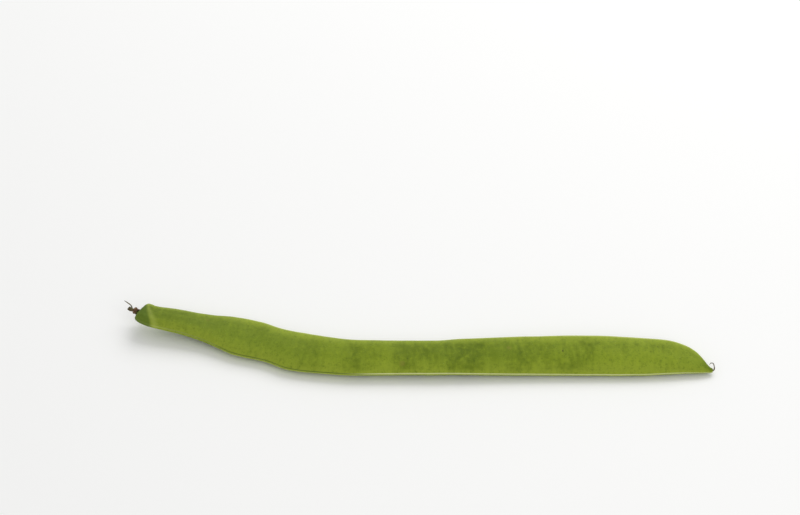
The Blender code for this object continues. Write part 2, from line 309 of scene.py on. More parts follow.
# %% [markdown]
# Where each ring of the pod sits
#
# Each ring stands square to the middle line, until the sweep slants those at the blunt end. It is
# rolled a little, as a pod that grew hanging seldom lies quite flat. From the bend to near the tip it
# is just high enough for the seed swellings to press on the floor, and towards both ends it is lifted
# clear. A curve object could hold the same line, with its tilt for the roll. These are plain arrays,
# because the calyx, the stalk and the style ask for the same places again further down.

# %% The pod's middle line and its rings
# Rings: where a stretch starts and ends, and how many rings it has
STEM_RINGS = (NECK_END, 0.010, 110)
BODY_RINGS = (0.010, 0.232, 440)
TIP_RINGS = (0.232, POD_LENGTH, 70)
SLOPE_REACH = 0.001        # a slope is measured from this far before a place to this far after it


def pod_frames(along):
    """Middle line of the pod, and two unit vectors: forward, and across to the far edge."""
    bow = through(BOW, along)
    before, after = along - SLOPE_REACH, along + SLOPE_REACH
    turn = (through(BOW, after) - through(BOW, before)) / (2 * SLOPE_REACH)
    rise = (through(LIFT, after) - through(LIFT, before)) / (2 * SLOPE_REACH)
    forward = unit(np.stack([np.ones_like(along), turn, rise], axis=1))
    level = unit(np.cross([0.0, 0.0, 1.0], forward))
    roll = np.radians(through(ROLL, along))[:, None]
    across = level * np.cos(roll) + np.cross(forward, level) * np.sin(roll)
    breadth = (through(FAR_EDGE, along) + through(NEAR_EDGE, along)) / 2
    thickness = through(HALF_THICKNESS, along)
    support = np.hypot(breadth * np.sin(roll[:, 0]), thickness * np.cos(roll[:, 0]))
    height = support + SEED_HEIGHT - PRESS + through(LIFT, along)
    return np.stack([along, bow, height], axis=1), forward, across


def pod_spine():
    along = np.concatenate([
        np.linspace(*STEM_RINGS, endpoint=False),
        np.linspace(*BODY_RINGS, endpoint=False),
        np.linspace(*TIP_RINGS),
    ])
    far, near = through(FAR_EDGE, along), through(NEAR_EDGE, along)
    half_width, half_thickness = (far + near) / 2, through(HALF_THICKNESS, along)
    bells = [np.exp(-(((along - place) / SEED_LENGTH) ** 2) / 2) for place in SEED_PLACES]
    return spine(
        "pod_spine",
        *pod_frames(along),
        along=along,
        half_width=half_width,
        half_thickness=half_thickness,
        offset=(far - near) / 2,
        seam=fade(along, *SEAM_ALONG) * fade(half_width, *SEAM_ROOM),
        groove=through(GROOVE_SHARE, along),
        slant=through(SLANT, along),
        seed=sum(bells) * fade(half_thickness, *SEED_ROOM),
        ribs=NECK_RIBS * (1 - fade(along, *NECK_RIBS_FADE)),
    )


print("rings along the pod:", len(pod_spine().vertices))

# %% [markdown]
# One tree for every grown body
#
# Pod, stalk and style are all the same idea: a closed skin swept along a spine. Curve to Mesh could
# sweep one fixed outline, but the pod's outline changes from ring to ring. So this tree starts from a
# plain drum with one row of points for each point of the spine. It reads each row's values from the
# spine, and moves the drum's points to where the formula for the ring puts them.
# The ring is a superellipse. Seeds add a soft bell to both faces, and the seams add a bead to both
# edges, with a groove down the near one.

# %% The sweeping tree
SWEEP = {
    "Ring Points": 120,
    "Fullness": 2.0,
    "Nose": 0.0004,
    "Rib Count": 11.0,
    "Seed Height": 0.0,
    "Seed Breadth": 0.005,
    "Bead Height": 0.0,
    "Bead Angle": 0.3,
    "Groove Depth": 0.0,
    "Groove Angle": 0.1,
    "Material": None,
}
CAP_RINGS = 3


def named(tree, name, kind="FLOAT"):
    """The attribute of that name, on whatever geometry the field meets."""
    return add(tree, "GeometryNodeInputNamedAttribute", {"Name": name}, data_type=kind)


def store(geometry, name, value):
    values = {"Geometry": geometry, "Name": name, "Value": value}
    return add(geometry.tree, "GeometryNodeStoreNamedAttribute", values, data_type="FLOAT")


def ring_outline(put, turn, at_row):
    """How far a point of the ring lies sideways and up from the ring's middle, for its turn."""
    cosine, sine = turn.math("COSINE"), turn.math("SINE")
    ribbed = (turn * put["Rib Count"]).math("COSINE") * at_row("ribs") + 1
    side = cosine.signed_power(2 / put["Fullness"]) * at_row("half_width") * ribbed
    face = sine.signed_power(2 / put["Fullness"]) * at_row("half_thickness") * ribbed
    from_edge = sine.size().math("ARCSINE")
    bead = from_edge.bell(put["Bead Angle"]) * put["Bead Height"]
    near = cosine.math("LESS_THAN", 0.0)
    groove = from_edge.bell(put["Groove Angle"]) * put["Groove Depth"] * at_row("groove") * near
    side = side + cosine.math("SIGN") * (bead - groove) * at_row("seam")
    swelling = side.bell(put["Seed Breadth"] * math.sqrt(2)) * at_row("seed") * put["Seed Height"]
    return side, face + sine * swelling


def sweeping_tree():
    tree, put = new_geometry_tree("Skin swept along a spine", SWEEP)
    count = add(tree, "GeometryNodeAttributeDomainSize", {"Geometry": put["Geometry"]})
    shape = {"Vertices": put["Ring Points"], "Side Segments": count - 1, "Fill Segments": CAP_RINGS}
    shape |= {"Radius": 1.0, "Depth": 1.0}
    drum = add(tree, "GeometryNodeMeshCylinder", shape, fill_type="TRIANGLE_FAN")
    x, y, z = split(add(tree, "GeometryNodeInputPosition"))
    row = ((z + 0.5) * (count - 1)).math("ROUND")

    def at_row(name, kind="FLOAT"):
        """The spine's value for the row that a point of the drum is in."""
        values = {"Geometry": put["Geometry"], "Value": named(tree, name, kind), "Index": row}
        return add(tree, "GeometryNodeSampleIndex", values, data_type=kind, domain="POINT")

    turn = y.math("ARCTAN2", x)
    reach = (x * x + y * y).math("SQRT").math("MINIMUM", 1.0)
    dome = z.math("SIGN") * (1 - reach * reach).math("SQRT") * put["Nose"]
    side, face = ring_outline(put, turn, at_row)
    sideways = side * reach + at_row("offset")
    place = at_row("position", "FLOAT_VECTOR")
    place = place.plus(at_row("across", "FLOAT_VECTOR").scaled(sideways))
    place = place.plus(at_row("up", "FLOAT_VECTOR").scaled(face * reach))
    place = place.plus(at_row("forward", "FLOAT_VECTOR").scaled(dome + sideways * at_row("slant")))

    marks = {"along": at_row("along"), "side": side / at_row("half_width"), "seed": at_row("seed")}
    marks |= {"face": turn.math("SINE") * reach, "turn": turn}
    for name, value in marks.items():
        drum = store(drum, name, value)
    moved = add(tree, "GeometryNodeSetPosition", {"Geometry": drum, "Position": place})
    end_tree(tree, moved, put["Material"])
    return tree


sweep = sweeping_tree()
print(f"{sweep.name}: {len(sweep.nodes)} nodes")

# %% [markdown]
# Relief: what keeps a skin from looking cast
#
# A pod's valves are never fair curves. They have slack hollows a centimetre or two across, a net of
# veins that runs slantwise from seam to seam, and a fine grain. All three push the skin along its
# normal. They are real shape, in the mesh, because bump in a material is lost from the outline.
# Where the pod lies on the floor its skin is pressed flat, so the relief fades out there.

# %% The relief tree
RELIEF = {
    "Lump Size": 0.012,
    "Lump Height": 0.0,
    "Grain Size": 0.0015,
    "Grain Height": 0.0,
    "Vein Spacing": 0.0042,
    "Vein Height": 0.0,
    "Vein Slant": 0.25,
    "Half Width": 0.010,
    "Random Seed": 1.0,
    "Material": None,
}
VEIN_STRETCH = 0.30
VEIN_WANDER = 0.30
VEIN_WANDER_SIZE = 0.006
LUMP_DETAIL = 1.0
GRAIN_DETAIL = 2.0
VEIN_EDGE = (0.02, 0.16)
VEIN_FACE = (0.25, 0.75)
VEIN_SHEET = 7.0           # how far apart in the pattern the two faces are, so that they differ
FLOOR_FADE = 0.0008


def vein_net(tree, put, position):
    """1 on the veins and 0 between them: the edges of scattered cells, stretched from seam to seam."""
    crosswise = named(tree, "side") * put["Half Width"]
    slanted = (named(tree, "along") + crosswise * put["Vein Slant"]) / put["Vein Spacing"]
    wander = grain(position, VEIN_WANDER_SIZE, GRAIN_DETAIL, put["Random Seed"])
    slanted = slanted + wander * VEIN_WANDER
    stretched = crosswise / put["Vein Spacing"] * VEIN_STRETCH
    which_face = named(tree, "face").math("SIGN") * VEIN_SHEET + put["Random Seed"]
    cells = {"Vector": join(tree, slanted, stretched, which_face), "Scale": 1.0}
    distance = add(tree, "ShaderNodeTexVoronoi", cells, feature="DISTANCE_TO_EDGE")
    return distance.ramp(*VEIN_EDGE, 1.0, 0.0) * named(tree, "face").size().ramp(*VEIN_FACE)


def relief_tree():
    tree, put = new_geometry_tree("Relief of a skin", RELIEF)
    position = add(tree, "GeometryNodeInputPosition")
    vein = vein_net(tree, put, position)
    lumps = grain(position, put["Lump Size"], LUMP_DETAIL, put["Random Seed"])
    grains = grain(position, put["Grain Size"], GRAIN_DETAIL, put["Random Seed"])
    height = lumps * put["Lump Height"] + grains * put["Grain Height"] + vein * put["Vein Height"]
    height = height * split(position)[2].ramp(0.0, FLOOR_FADE)
    outward = add(tree, "GeometryNodeInputNormal").scaled(height)
    marked = store(put["Geometry"], "vein", vein)
    pushed = add(tree, "GeometryNodeSetPosition", {"Geometry": marked, "Offset": outward})
    x, y, z = split(add(tree, "GeometryNodeInputPosition"))
    above_floor = {"Geometry": pushed, "Position": join(tree, x, y, z.math("MAXIMUM", 0.0))}
    end_tree(tree, add(tree, "GeometryNodeSetPosition", above_floor), put["Material"])
    return tree


relief = relief_tree()
print(f"{relief.name}: {len(relief.nodes)} nodes")

# %% [markdown]
# The colours of fresh and dry bean
#
# A bean's green is mostly yellow: a plain green from a colour wheel looks like plastic beside it.
# The colours below are named for where they are on the pod. They are typed as a screen shows them,
# from 0 to 255, and made linear here, because shaders add light and screens don't.

# %% Paint box
def paint(red, green, blue):
    """A screen colour, 0 to 255, as the linear colour that a shader takes."""
    shares = (value / 255 for value in (red, green, blue))
    linear = (s / 12.92 if s < 0.04045 else ((s + 0.055) / 1.055) ** 2.4 for s in shares)
    return (*linear, 1.0)


# Painted shade for the blunt end's slanting face
BLUNT_SHADE_GREEN = paint(84, 107, 36)
STEM_GREEN = paint(112, 130, 40)
BEND_GREEN = paint(117, 136, 38)
MIDDLE_GREEN = paint(108, 127, 26)
SEED_GREEN = paint(124, 142, 33)
TIP_GREEN = paint(132, 150, 38)
BEAK_GREEN = paint(106, 124, 24)
# Painted shade, for the hollows between the seed swellings
SHADE_BETWEEN_SEEDS = paint(82, 101, 14)
FAR_STRIPE = paint(152, 169, 52)
# Yellower green of the near stripe, also used as painted light on the near half
NEAR_STRIPE_AND_LIGHT = paint(150, 165, 54)
# Pale seam colour, also used for painted highlights on the far rim and the blunt end's ridge
PALE_RIM_AND_HIGHLIGHT = paint(198, 208, 112)
# The near lip's pale colour, made near white with painted highlight
LIP_PALE_AND_HIGHLIGHT = paint(246, 248, 186)
# Painted shade for the dark line along the seams
GROOVE_SHADE = paint(96, 114, 38)
VEIN_PALE = paint(128, 147, 46)
MOTTLE_LIGHT = paint(146, 163, 44)
# Dark mottle, also used for the painted shade in the crease at the bend
MOTTLE_AND_SHADE_DARK = paint(76, 97, 20)
FRECKLE = paint(66, 72, 26)
SCUFF = paint(128, 124, 50)
CALYX_RED = paint(92, 64, 46)
CALYX_TAN = paint(142, 110, 82)
CALYX_DARK = paint(58, 38, 26)
STALK_OLIVE = paint(104, 98, 62)
STALK_BROWN = paint(72, 54, 36)
STALK_PALE = paint(150, 138, 108)
STYLE_GREY = paint(118, 110, 90)
STYLE_BROWN = paint(78, 66, 48)
HAIR_PALE = paint(198, 206, 160)
FLOOR_WHITE = paint(251, 251, 250)
print("a middle green, linear:", tuple(round(share, 3) for share in MIDDLE_GREEN[:3]))

# %% [markdown]
# Starting a material
#
# Every finish here is a Principled shader. What is the same all over a surface, such as its sheen or
# how far light sinks in, is set straight on the shader's sockets. Only what changes from place to
# place is a pattern of nodes. Patterns read the attributes that a piece's mesh carries, so that they
# follow it round its bends, or the object's own coordinates. An image on a UV map could do the same,
# but it would have to be painted first.

# %% Material helpers
# A Mix node has sockets of the same name for each kind of value, so those for colours go by number
MIX_SHARE, MIX_ONE, MIX_OTHER, MIX_RESULT = 0, 6, 7, 2


def new_material(name, **constants):
    """A material, with its tree, its shader node and its object coordinates."""
    material = bpy.data.materials.new(name)
    material.use_nodes = True
    tree = material.node_tree
    shader = tree.nodes["Principled BSDF"]
    for label, value in constants.items():
        shader.inputs[label.replace("_", " ")].default_value = value
    return material, tree, shader, add(tree, "ShaderNodeTexCoord", output="Object")


def surface(tree, name):
    """The value of an attribute, from the surface being shaded."""
    return add(tree, "ShaderNodeAttribute", output="Fac", attribute_name=name)


def mix(tree, share, one, other):
    """One colour where the share is 0, and the other where it is 1."""
    values = {MIX_SHARE: share, MIX_ONE: one, MIX_OTHER: other}
    return add(tree, "ShaderNodeMix", values, output=MIX_RESULT, data_type="RGBA")


def colour_ramp(field, stops):
    """A smooth run of colours. Each stop is a value from 0 to 1, and the colour there."""
    node = add(field.tree, "ShaderNodeValToRGB", {"Fac": field}).socket.node
    ramp = node.color_ramp
    ramp.interpolation = "EASE"
    for place, colour in stops[1:-1]:
        ramp.elements.new(place).color = colour
    for element, (place, colour) in zip((ramp.elements[0], ramp.elements[-1]), (stops[0], stops[-1])):
        element.position, element.color = place, colour
    return Field(node.outputs["Color"])


def finish_shader(tree, shader, colour, roughness, height=None, depth=0.0):
    """Links colour, roughness and, where a height is given, a bump that is depth metres deep."""
    links = {"Base Color": colour, "Roughness": roughness}
    if height is not None:
        values = {"Height": height, "Distance": depth, "Strength": 1.0}
        links["Normal"] = add(tree, "ShaderNodeBump", values)
    for label, field in links.items():
        tree.links.new(field.socket, shader.inputs[label])


print("material helpers are ready")

# %% [markdown]
# Pod skin: its patterns
#
# On a fresh pod the colour changes in three ways at once. Along it, the stem end is a deeper green and
# the beak end yellower. Across it, the seams are pale lines, partly painted highlight, and the middle
# of each valve is darkest, as the painted shade fades towards the edges. And between the seeds the
# green is darker with painted shade, for the hollows between the swellings. A painted image could hold
# all that, but it would fit one pod only. So every layer is a formula of where a point is on the pod
# and of five noises, from clouds a finger wide to specks. The two that run across the pod are read
# from its own length and width, so that they follow it round its bend.

# %% Patterns that steer the paint
HALF_WIDTH = 0.0105
SHEET = 0.1                # how far apart in the noise the two faces are, so that they differ
CLOUD = {"size": 0.015, "detail": 3.0, "seed": 3.0}
MOTTLE = {"size": 0.0018, "detail": 3.0, "seed": 5.0}
SPECK = {"size": 0.0007, "detail": 3.0, "seed": 7.0}
BAND = {"size": 0.0016, "detail": 2.0, "seed": 9.0}
PATCH = {"size": 0.0075, "detail": 3.0, "seed": 36.0}
BAND_STRETCH = 0.25
PATCH_STRETCH = 0.6


def skin_patterns(tree, place):
    """The values that the trees stored, and the noises, under the names that the layers use."""
    names = ("along", "side", "face", "seed", "vein")
    at = SimpleNamespace(**{name: surface(tree, name) for name in names})
    at.edge, at.from_seam = at.side.size(), at.face.size()
    at.near_half = at.side.math("LESS_THAN", 0.0)
    at.cloud, at.mottle, at.speck = (grain(place, **kind) for kind in (CLOUD, MOTTLE, SPECK))
    across, sheet = at.side * HALF_WIDTH, at.face.math("SIGN") * SHEET
    at.band = grain(join(tree, at.along, across * BAND_STRETCH, sheet), **BAND)
    at.patch = grain(join(tree, at.along, across * PATCH_STRETCH, sheet), **PATCH)
    return at


def weigh(at, weights):
    """The sum of the named patterns, each times its weight."""
    parts = [getattr(at, name) * weight for name, weight in weights.items()]
    return sum(parts[1:], parts[0])


print(f"patches are about {PATCH['size'] * 1000:.1f} mm wide, specks {SPECK['size'] * 1000:.1f} mm")

# %% [markdown]
# Pod skin: the ground greens
#
# The broad greens come first: those along the pod, a painted light that lifts the shade on the near
# half, painted shade between the seed swellings and in patches, and the yellower strips beside the
# seams. Each could be a material on faces of its own, but it would then end in a hard edge. Instead,
# each layer mixes one more colour into the paint so far. Its share is a ramp, given by where it starts
# and ends and, unless it goes from 0 to 1, by both shares.

# %% Ground greens
GREENS = [
    (0.00, STEM_GREEN),
    (0.22, BEND_GREEN),
    (0.40, SEED_GREEN),
    (0.60, MIDDLE_GREEN),
    (0.76, SEED_GREEN),
    (0.88, TIP_GREEN),
    (0.97, TIP_GREEN),
    (1.00, BEAK_GREEN),
]
# Painted light: the near half is lightened towards the stripe green, to lift its shade
NEAR_PAINTED_LIGHT = (-0.95, -0.30, 0.60, 0.0)
# Painted shade between the seed swellings and in random patches, weaker at the edges, the near side and
# both ends
UNSHADED_BY = {"seed": 0.8, "patch": 1.3, "band": 0.35, "mottle": 0.3}
SHADE_DEPTH = (-0.35, 0.95, 0.95, 0.0)
SHADE_AT_STEM = (0.052, 0.105, 0.2, 1.0)
SHADE_AT_TIP = (0.222, 0.236, 1.0, 0.25)
SHADE_NEAR = (-0.9, -0.3, 0.85, 1.0)
EDGE_WANDER = {"edge": 1.0, "patch": 0.08, "band": 0.04}
SHADE_AT_EDGE = (0.90, 1.02, 1.0, 0.35)
FAR_WANDER = {"side": 1.0, "patch": 0.25}
FAR_BAND = (0.25, 0.82, 0.0, 0.85)
NEAR_WANDER = {"side": 1.0, "patch": 0.10}
NEAR_BAND = (-1.0, -0.85, 0.40, 0.0)


def ground_greens(tree, at):
    """Greens along the pod, painted light on the near half, painted shade between the seeds, and
    yellower beside the seams.
    """
    body = colour_ramp(at.along / POD_LENGTH, GREENS)
    # Painted light on the near half
    body = mix(tree, at.side.ramp(*NEAR_PAINTED_LIGHT), body, NEAR_STRIPE_AND_LIGHT)
    # Painted shade between the seeds
    painted_shade = weigh(at, UNSHADED_BY).ramp(*SHADE_DEPTH) * at.along.ramp(*SHADE_AT_TIP)
    painted_shade = painted_shade * at.along.ramp(*SHADE_AT_STEM) * at.side.ramp(*SHADE_NEAR)
    painted_shade = painted_shade * weigh(at, EDGE_WANDER).ramp(*SHADE_AT_EDGE)
    body = mix(tree, painted_shade, body, SHADE_BETWEEN_SEEDS)
    body = mix(tree, weigh(at, FAR_WANDER).ramp(*FAR_BAND), body, FAR_STRIPE)
    return mix(tree, weigh(at, NEAR_WANDER).ramp(*NEAR_BAND), body, NEAR_STRIPE_AND_LIGHT)


print(f"{len(GREENS)} greens from the blunt end to the beak")

# %% [markdown]
# Pod skin: bands, veins and mottle
#
# Seen close, a valve is streaked from seam to seam, with pale and dark specks over the streaks. One
# ramp from dark to light could colour a noise, but then no plain green would be left. So each noise
# has two ramps, one for its light side and one for its dark side, each with its own share. Pale
# specks fall where the mottle is high, and dark ones where it is low.

# %% Bands, veins and mottle
STREAKS = {"band": 1.0, "patch": 0.4}
STREAK_LIGHT = (0.0, 0.8, 0.0, 0.40)
STREAK_DARK = (-0.7, 0.0, 0.25, 0.0)
VEIN_SHARE = 0.14
VEIN_UNEVEN = 0.10
SPECK_LIGHT = (0.0, 0.8, 0.0, 0.45)
DARK_SPECKS = {"speck": 1.0, "mottle": -0.4}
SPECK_DARK = (-0.1, 0.7, 0.0, 0.60)


def mottled(tree, at, body):
    body = mix(tree, weigh(at, STREAKS).ramp(*STREAK_LIGHT), body, MOTTLE_LIGHT)
    body = mix(tree, at.band.ramp(*STREAK_DARK), body, MOTTLE_AND_SHADE_DARK)
    body = mix(tree, at.vein * (at.cloud * VEIN_UNEVEN + VEIN_SHARE), body, VEIN_PALE)
    body = mix(tree, (at.mottle + at.speck).ramp(*SPECK_LIGHT), body, MOTTLE_LIGHT)
    return mix(tree, weigh(at, DARK_SPECKS).ramp(*SPECK_DARK), body, MOTTLE_AND_SHADE_DARK)


print(f"a streak is at most {STREAK_LIGHT[3]:.0%} light green, or {STREAK_DARK[2]:.0%} dark green")

# %% [markdown]
# Pod skin: the two seams
#
# The far seam is a soft pale rim, partly its own paler colour and partly painted highlight. The near
# one is two lips with a groove between them. A dark line of painted shade runs along both seams,
# strongest in the near groove. The upper lip is pale along most of the pod, with painted highlight
# that makes it almost white. At the bend the valve swells over it, so there it is a crease painted
# dark as shade, with a lighter strip beneath. Separate strings of mesh could stand for the lips, but
# they grew as part of the skin, so the bead is shape and only its colour, with the painted light and
# shade on it, is painted here.

# %% Seams
SEAM_SHARE = 0.9
SEAM_UNEVEN = 0.2
# The far rim: partly the seam's paler colour, partly painted highlight
RIM_WIDTH = (0.80, 0.92, 0.0, 0.75)
RIM_START = (0.002, 0.012)
RIM_TOP = (0.10, 0.40, 0.35, 1.0)
# The near lip: its paler colour with painted highlight, strongest on the upper lip
LIP_WIDTH = (0.055, 0.11, 1.0, 0.0)
LIP_TOP = (-0.06, 0.0, 0.25, 1.0)
LIP_START = (0.086, 0.108)
LIP_SHARE = (0.0, 1.0, 0.12, 1.0)
# Painted shade in the crease at the bend, under the swelling valve
CREASE_START = (0.034, 0.042)
CREASE_SHADE_SHARE = 0.8
STRIP_TOP = (-0.12, -0.05, 1.0, 0.0)
STRIP_WIDTH = (0.35, 0.60, 1.0, 0.0)
STRIP_SHARE = 0.35
# Painted shade: a dark line along both seams, strongest in the near groove
GROOVE_WIDTH = (0.0, 0.045, 1.0, 0.0)
GROOVE_SIDE = (-0.5, 0.5, 0.7, 0.4)
GROOVE_START = (0.01, 0.03)


def seams(tree, at, body):
    uneven = at.mottle * SEAM_UNEVEN + SEAM_SHARE
    # The far seam's pale rim, partly painted highlight
    rim = at.side.ramp(*RIM_WIDTH) * at.along.ramp(*RIM_START) * at.from_seam.ramp(*RIM_TOP)
    body = mix(tree, rim * uneven, body, PALE_RIM_AND_HIGHLIGHT)
    # The near lip's pale line, partly painted highlight
    lip = at.from_seam.ramp(*LIP_WIDTH) * at.face.ramp(*LIP_TOP) * at.near_half
    bare = at.along.ramp(*LIP_START)
    body = mix(tree, lip * bare.ramp(*LIP_SHARE) * uneven, body, LIP_PALE_AND_HIGHLIGHT)
    # Painted shade in the crease at the bend
    tucked = at.along.ramp(*CREASE_START) * (1.0 - bare)
    body = mix(tree, lip * tucked * CREASE_SHADE_SHARE, body, MOTTLE_AND_SHADE_DARK)
    strip = at.face.ramp(*STRIP_TOP) * at.from_seam.ramp(*STRIP_WIDTH) * at.near_half
    body = mix(tree, strip * tucked * STRIP_SHARE, body, PALE_RIM_AND_HIGHLIGHT)
    # Painted shade along the seams' groove line
    groove = at.from_seam.ramp(*GROOVE_WIDTH) * at.side.ramp(*GROOVE_SIDE)
    return mix(tree, groove * at.along.ramp(*GROOVE_START), body, GROOVE_SHADE)


print(f"the pale lip starts {LIP_START[0] * 1000:.0f} mm from the blunt end")

# %% [markdown]
# Pod skin: the blunt end and small marks
#
# The pod ends in a blunt, slanting shoulder round its neck, painted a duller, deeper green as shade,
# with a painted highlight along the ridge beside it. Freckles and scuffs are what any pod gathers as
# it grows and is picked. A noise would scatter them evenly, like a print, so these few are listed, on
# both faces.

# %% Blunt end, scuffs and freckles
BLUNT_SLANT = 0.0052
BLUNT_WANDER = 0.0005
# Painted shade on the blunt end's slanting face
BLUNT_FACE = (0.0028, 0.0042, 0.9, 0.0)
BLUNT_SIDE = (0.45, 0.85, 1.0, 0.2)
BLUNT_SHADE_SHARE = 0.85
BLUNT_UNEVEN = {"mottle": 0.25, "speck": 0.15}
# Painted highlight along the ridge between the broad face and the blunt end
RIDGE_HIGHLIGHT_PLACE = 0.0050
RIDGE_HIGHLIGHT_WIDTH = 0.0012
RIDGE_HIGHLIGHT_SHARE = 0.20
# Marks: place along, side from -1 to 1, upper face or not, radius, and how strong
FRECKLES = [
    (0.1850, -0.08, True, 0.0006, 0.75),
    (0.1180, -0.45, True, 0.0005, 0.45),
    (0.2262, 0.30, True, 0.0004, 0.55),
    (0.0472, 0.35, True, 0.0005, 0.45),
    (0.0905, 0.15, False, 0.0007, 0.60),
    (0.1720, -0.35, False, 0.0005, 0.55),
]
SCUFFS = [
    (0.1618, 0.10, True, 0.0014, 0.40),
    (0.1160, -0.70, True, 0.0018, 0.45),
    (0.0300, 0.10, True, 0.0012, 0.30),
    (0.1350, 0.20, False, 0.0020, 0.40),
]
MARK_RAGGED = 0.7          # how far, in radii, the noise moves a mark's edge
MARK_SOFT = 0.5            # the share of its radius over which a mark fades in


# Paints the shade on the blunt end's face and a highlight on the ridge beside it
def blunt_end(tree, at, body):
    from_blunt = at.along + at.side * BLUNT_SLANT + at.cloud * BLUNT_WANDER
    shoulder = from_blunt.ramp(*BLUNT_FACE) * at.side.ramp(*BLUNT_SIDE)
    body = mix(tree, shoulder * (weigh(at, BLUNT_UNEVEN) + BLUNT_SHADE_SHARE), body, BLUNT_SHADE_GREEN)
    ridge = (from_blunt - RIDGE_HIGHLIGHT_PLACE).bell(RIDGE_HIGHLIGHT_WIDTH) * RIDGE_HIGHLIGHT_SHARE
    return mix(tree, ridge, body, PALE_RIM_AND_HIGHLIGHT)


def marked(tree, at, body, marks, colour, wander):
    """Paints round marks with a soft, uneven edge."""
    for place, across, upper, radius, strength in marks:
        x, y = (at.along - place) / radius, (at.side - across) * (HALF_WIDTH / radius)
        inside = 1.0 - (x * x + y * y).math("SQRT") + wander * MARK_RAGGED
        this_face = at.face.math("GREATER_THAN" if upper else "LESS_THAN", 0.0)
        body = mix(tree, inside.ramp(0.0, MARK_SOFT, 0.0, strength) * this_face, body, colour)
    return body


print(f"{len(FRECKLES)} freckles and {len(SCUFFS)} scuffs")

# %% [markdown]
# Pod skin: the whole material
#
# The layers go on in order. A bean's skin is waxy but not wet, so its specular level is low. A little
# light sinks in and comes back green, which keeps the thin edges from looking like card. A glossy
# coat over flat green would be shorter to write, and is what makes toy vegetables look like toys.

# %% Pod skin material
SKIN_ROUGHNESS = 0.56
SKIN_GLOSS = {"mottle": 0.05, "speck": 0.05}
SKIN_HEIGHT = {"speck": 0.5, "mottle": 0.5, "vein": 0.5}
SKIN_BUMP = 0.00005


def pod_skin():
    material, tree, shader, place = new_material(
        "pod_skin",
        Subsurface_Weight=0.06,
        Subsurface_Radius=(0.6, 1.0, 0.25),
        Subsurface_Scale=0.0010,
        Sheen_Weight=0.02,
        Sheen_Roughness=0.5,
        Specular_IOR_Level=0.07,
    )
    at = skin_patterns(tree, place)
    body = ground_greens(tree, at)
    for layer in (mottled, seams, blunt_end):
        body = layer(tree, at, body)
    body = marked(tree, at, body, SCUFFS, SCUFF, at.mottle)
    body = marked(tree, at, body, FRECKLES, FRECKLE, at.speck)
    roughness = weigh(at, SKIN_GLOSS) + SKIN_ROUGHNESS
    finish_shader(tree, shader, body, roughness, weigh(at, SKIN_HEIGHT), SKIN_BUMP)
    return material


skin = pod_skin()
print(f"{skin.name}: {len(skin.node_tree.nodes)} nodes")

# %% [markdown]
# The pod
#
# The sweep gives the form and the relief the life. The CAD's own mesh could be dressed instead, but
# its faces are too large to carry a vein. It still says where the pod goes: the two agree in shape, so
# the middle of one box is laid on the middle of the other, and everything that is fastened to the pod
# uses the same shift.

# %% Grow the pod
SKIN_SHAPE = {
    "fullness": 2.25,
    "seed_height": SEED_HEIGHT,
    "seed_breadth": SEED_BREADTH,
    "bead_height": 0.00042,
    "bead_angle": 0.30,
    "groove_depth": 0.00070,
    "groove_angle": 0.10,
    "nose": 0.0002,
}
SKIN_RELIEF = {
    "lump_size": 0.011,
    "lump_height": 0.00016,
    "grain_size": 0.0016,
    "grain_height": 0.000012,
    "vein_height": 0.00003,
    "random_seed": 4.0,
}


def box_middle(points):
    """The middle of a set of points' box, seen from above. Both models stand on height zero."""
    low, high = points.min(axis=0), points.max(axis=0)
    return np.array([(low[0] + high[0]) / 2, (low[1] + high[1]) / 2, 0.0])


def points_of(piece):
    return np.array([vertex.co for vertex in piece.data.vertices])


def roughened(name, swept, roughness, material):
    """A piece like the swept one, with relief on its skin. The swept one is taken away."""
    mesh = swept.data
    bpy.data.objects.remove(swept)
    return grow(name, mesh, relief, material=material, **roughness)


smooth_pod = grow("pod_swept", pod_spine(), sweep, material=skin, **SKIN_SHAPE)
SHIFT = box_middle(points_of(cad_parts["pod"])) - box_middle(points_of(smooth_pod))
pod = roughened("bean_pod", smooth_pod, SKIN_RELIEF, skin)
pod.data.transform(Matrix.Translation(Vector(SHIFT)))
print("shift to the CAD's place, mm:", np.round(SHIFT * 1000, 2))

# %% [markdown]
# Ride, replace and print the slot
#
# Each finished piece is fastened to the body that it moves with and hides the CAD node that it stands
# for, and the finish of the record that it wears is printed. A bean has one body, the root. The three
# calls could be written out for each piece, but then one could be forgotten.

# %% Hand a piece to the frame
def hand_over(piece, node, slot):
    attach(piece, "root")
    if node:
        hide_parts(node)
    print(f"{piece.name} rides on root, in {slot}")


hand_over(pod, "pod", "pod_skin")

# %% [markdown]
# The calyx
#
# The calyx is the cup that once held the flower. On a picked pod it dries to brown paper, with five
# teeth that shrink, curl and tear. It could be a cone with a cut edge, but a real one fits the neck
# like a sock. So rays are shot outwards from the middle of the neck, and where each one leaves the
# skin, a point of the cup stands a little further out.

# %% Rays that find the skin of the neck
RAY_START = 0.00008        # how far inside the pod's end the first ray starts


def ring_middles(along):
    """The middle of each ring itself, in the CAD's place, and its forward, sideways and up."""
    middle, forward, across = pod_frames(along)
    offset = (through(FAR_EDGE, along) - through(NEAR_EDGE, along)) / 2
    leaning = across + forward * through(SLANT, along)[:, None]
    return middle + leaning * offset[:, None] + SHIFT, forward, unit(leaning), np.cross(forward, across)


def neck_skin(along, turn):
    """A point of the skin for each place and turn, and the direction that the ray went."""
    middle, forward, leaning, up = ring_middles(along + RAY_START)
    outward = leaning * np.cos(turn)[:, None] + up * np.sin(turn)[:, None]
    hits = [pod_tree.ray_cast(Vector(point), Vector(way))[0] for point, way in zip(middle, outward)]
    return np.array(hits), outward


pod_tree = BVHTree.FromPolygons(points_of(pod).tolist(), [face.vertices for face in pod.data.polygons])
print("skin on the neck's far side, m:", neck_skin(np.array([0.0]), np.array([0.0]))[0].round(4))

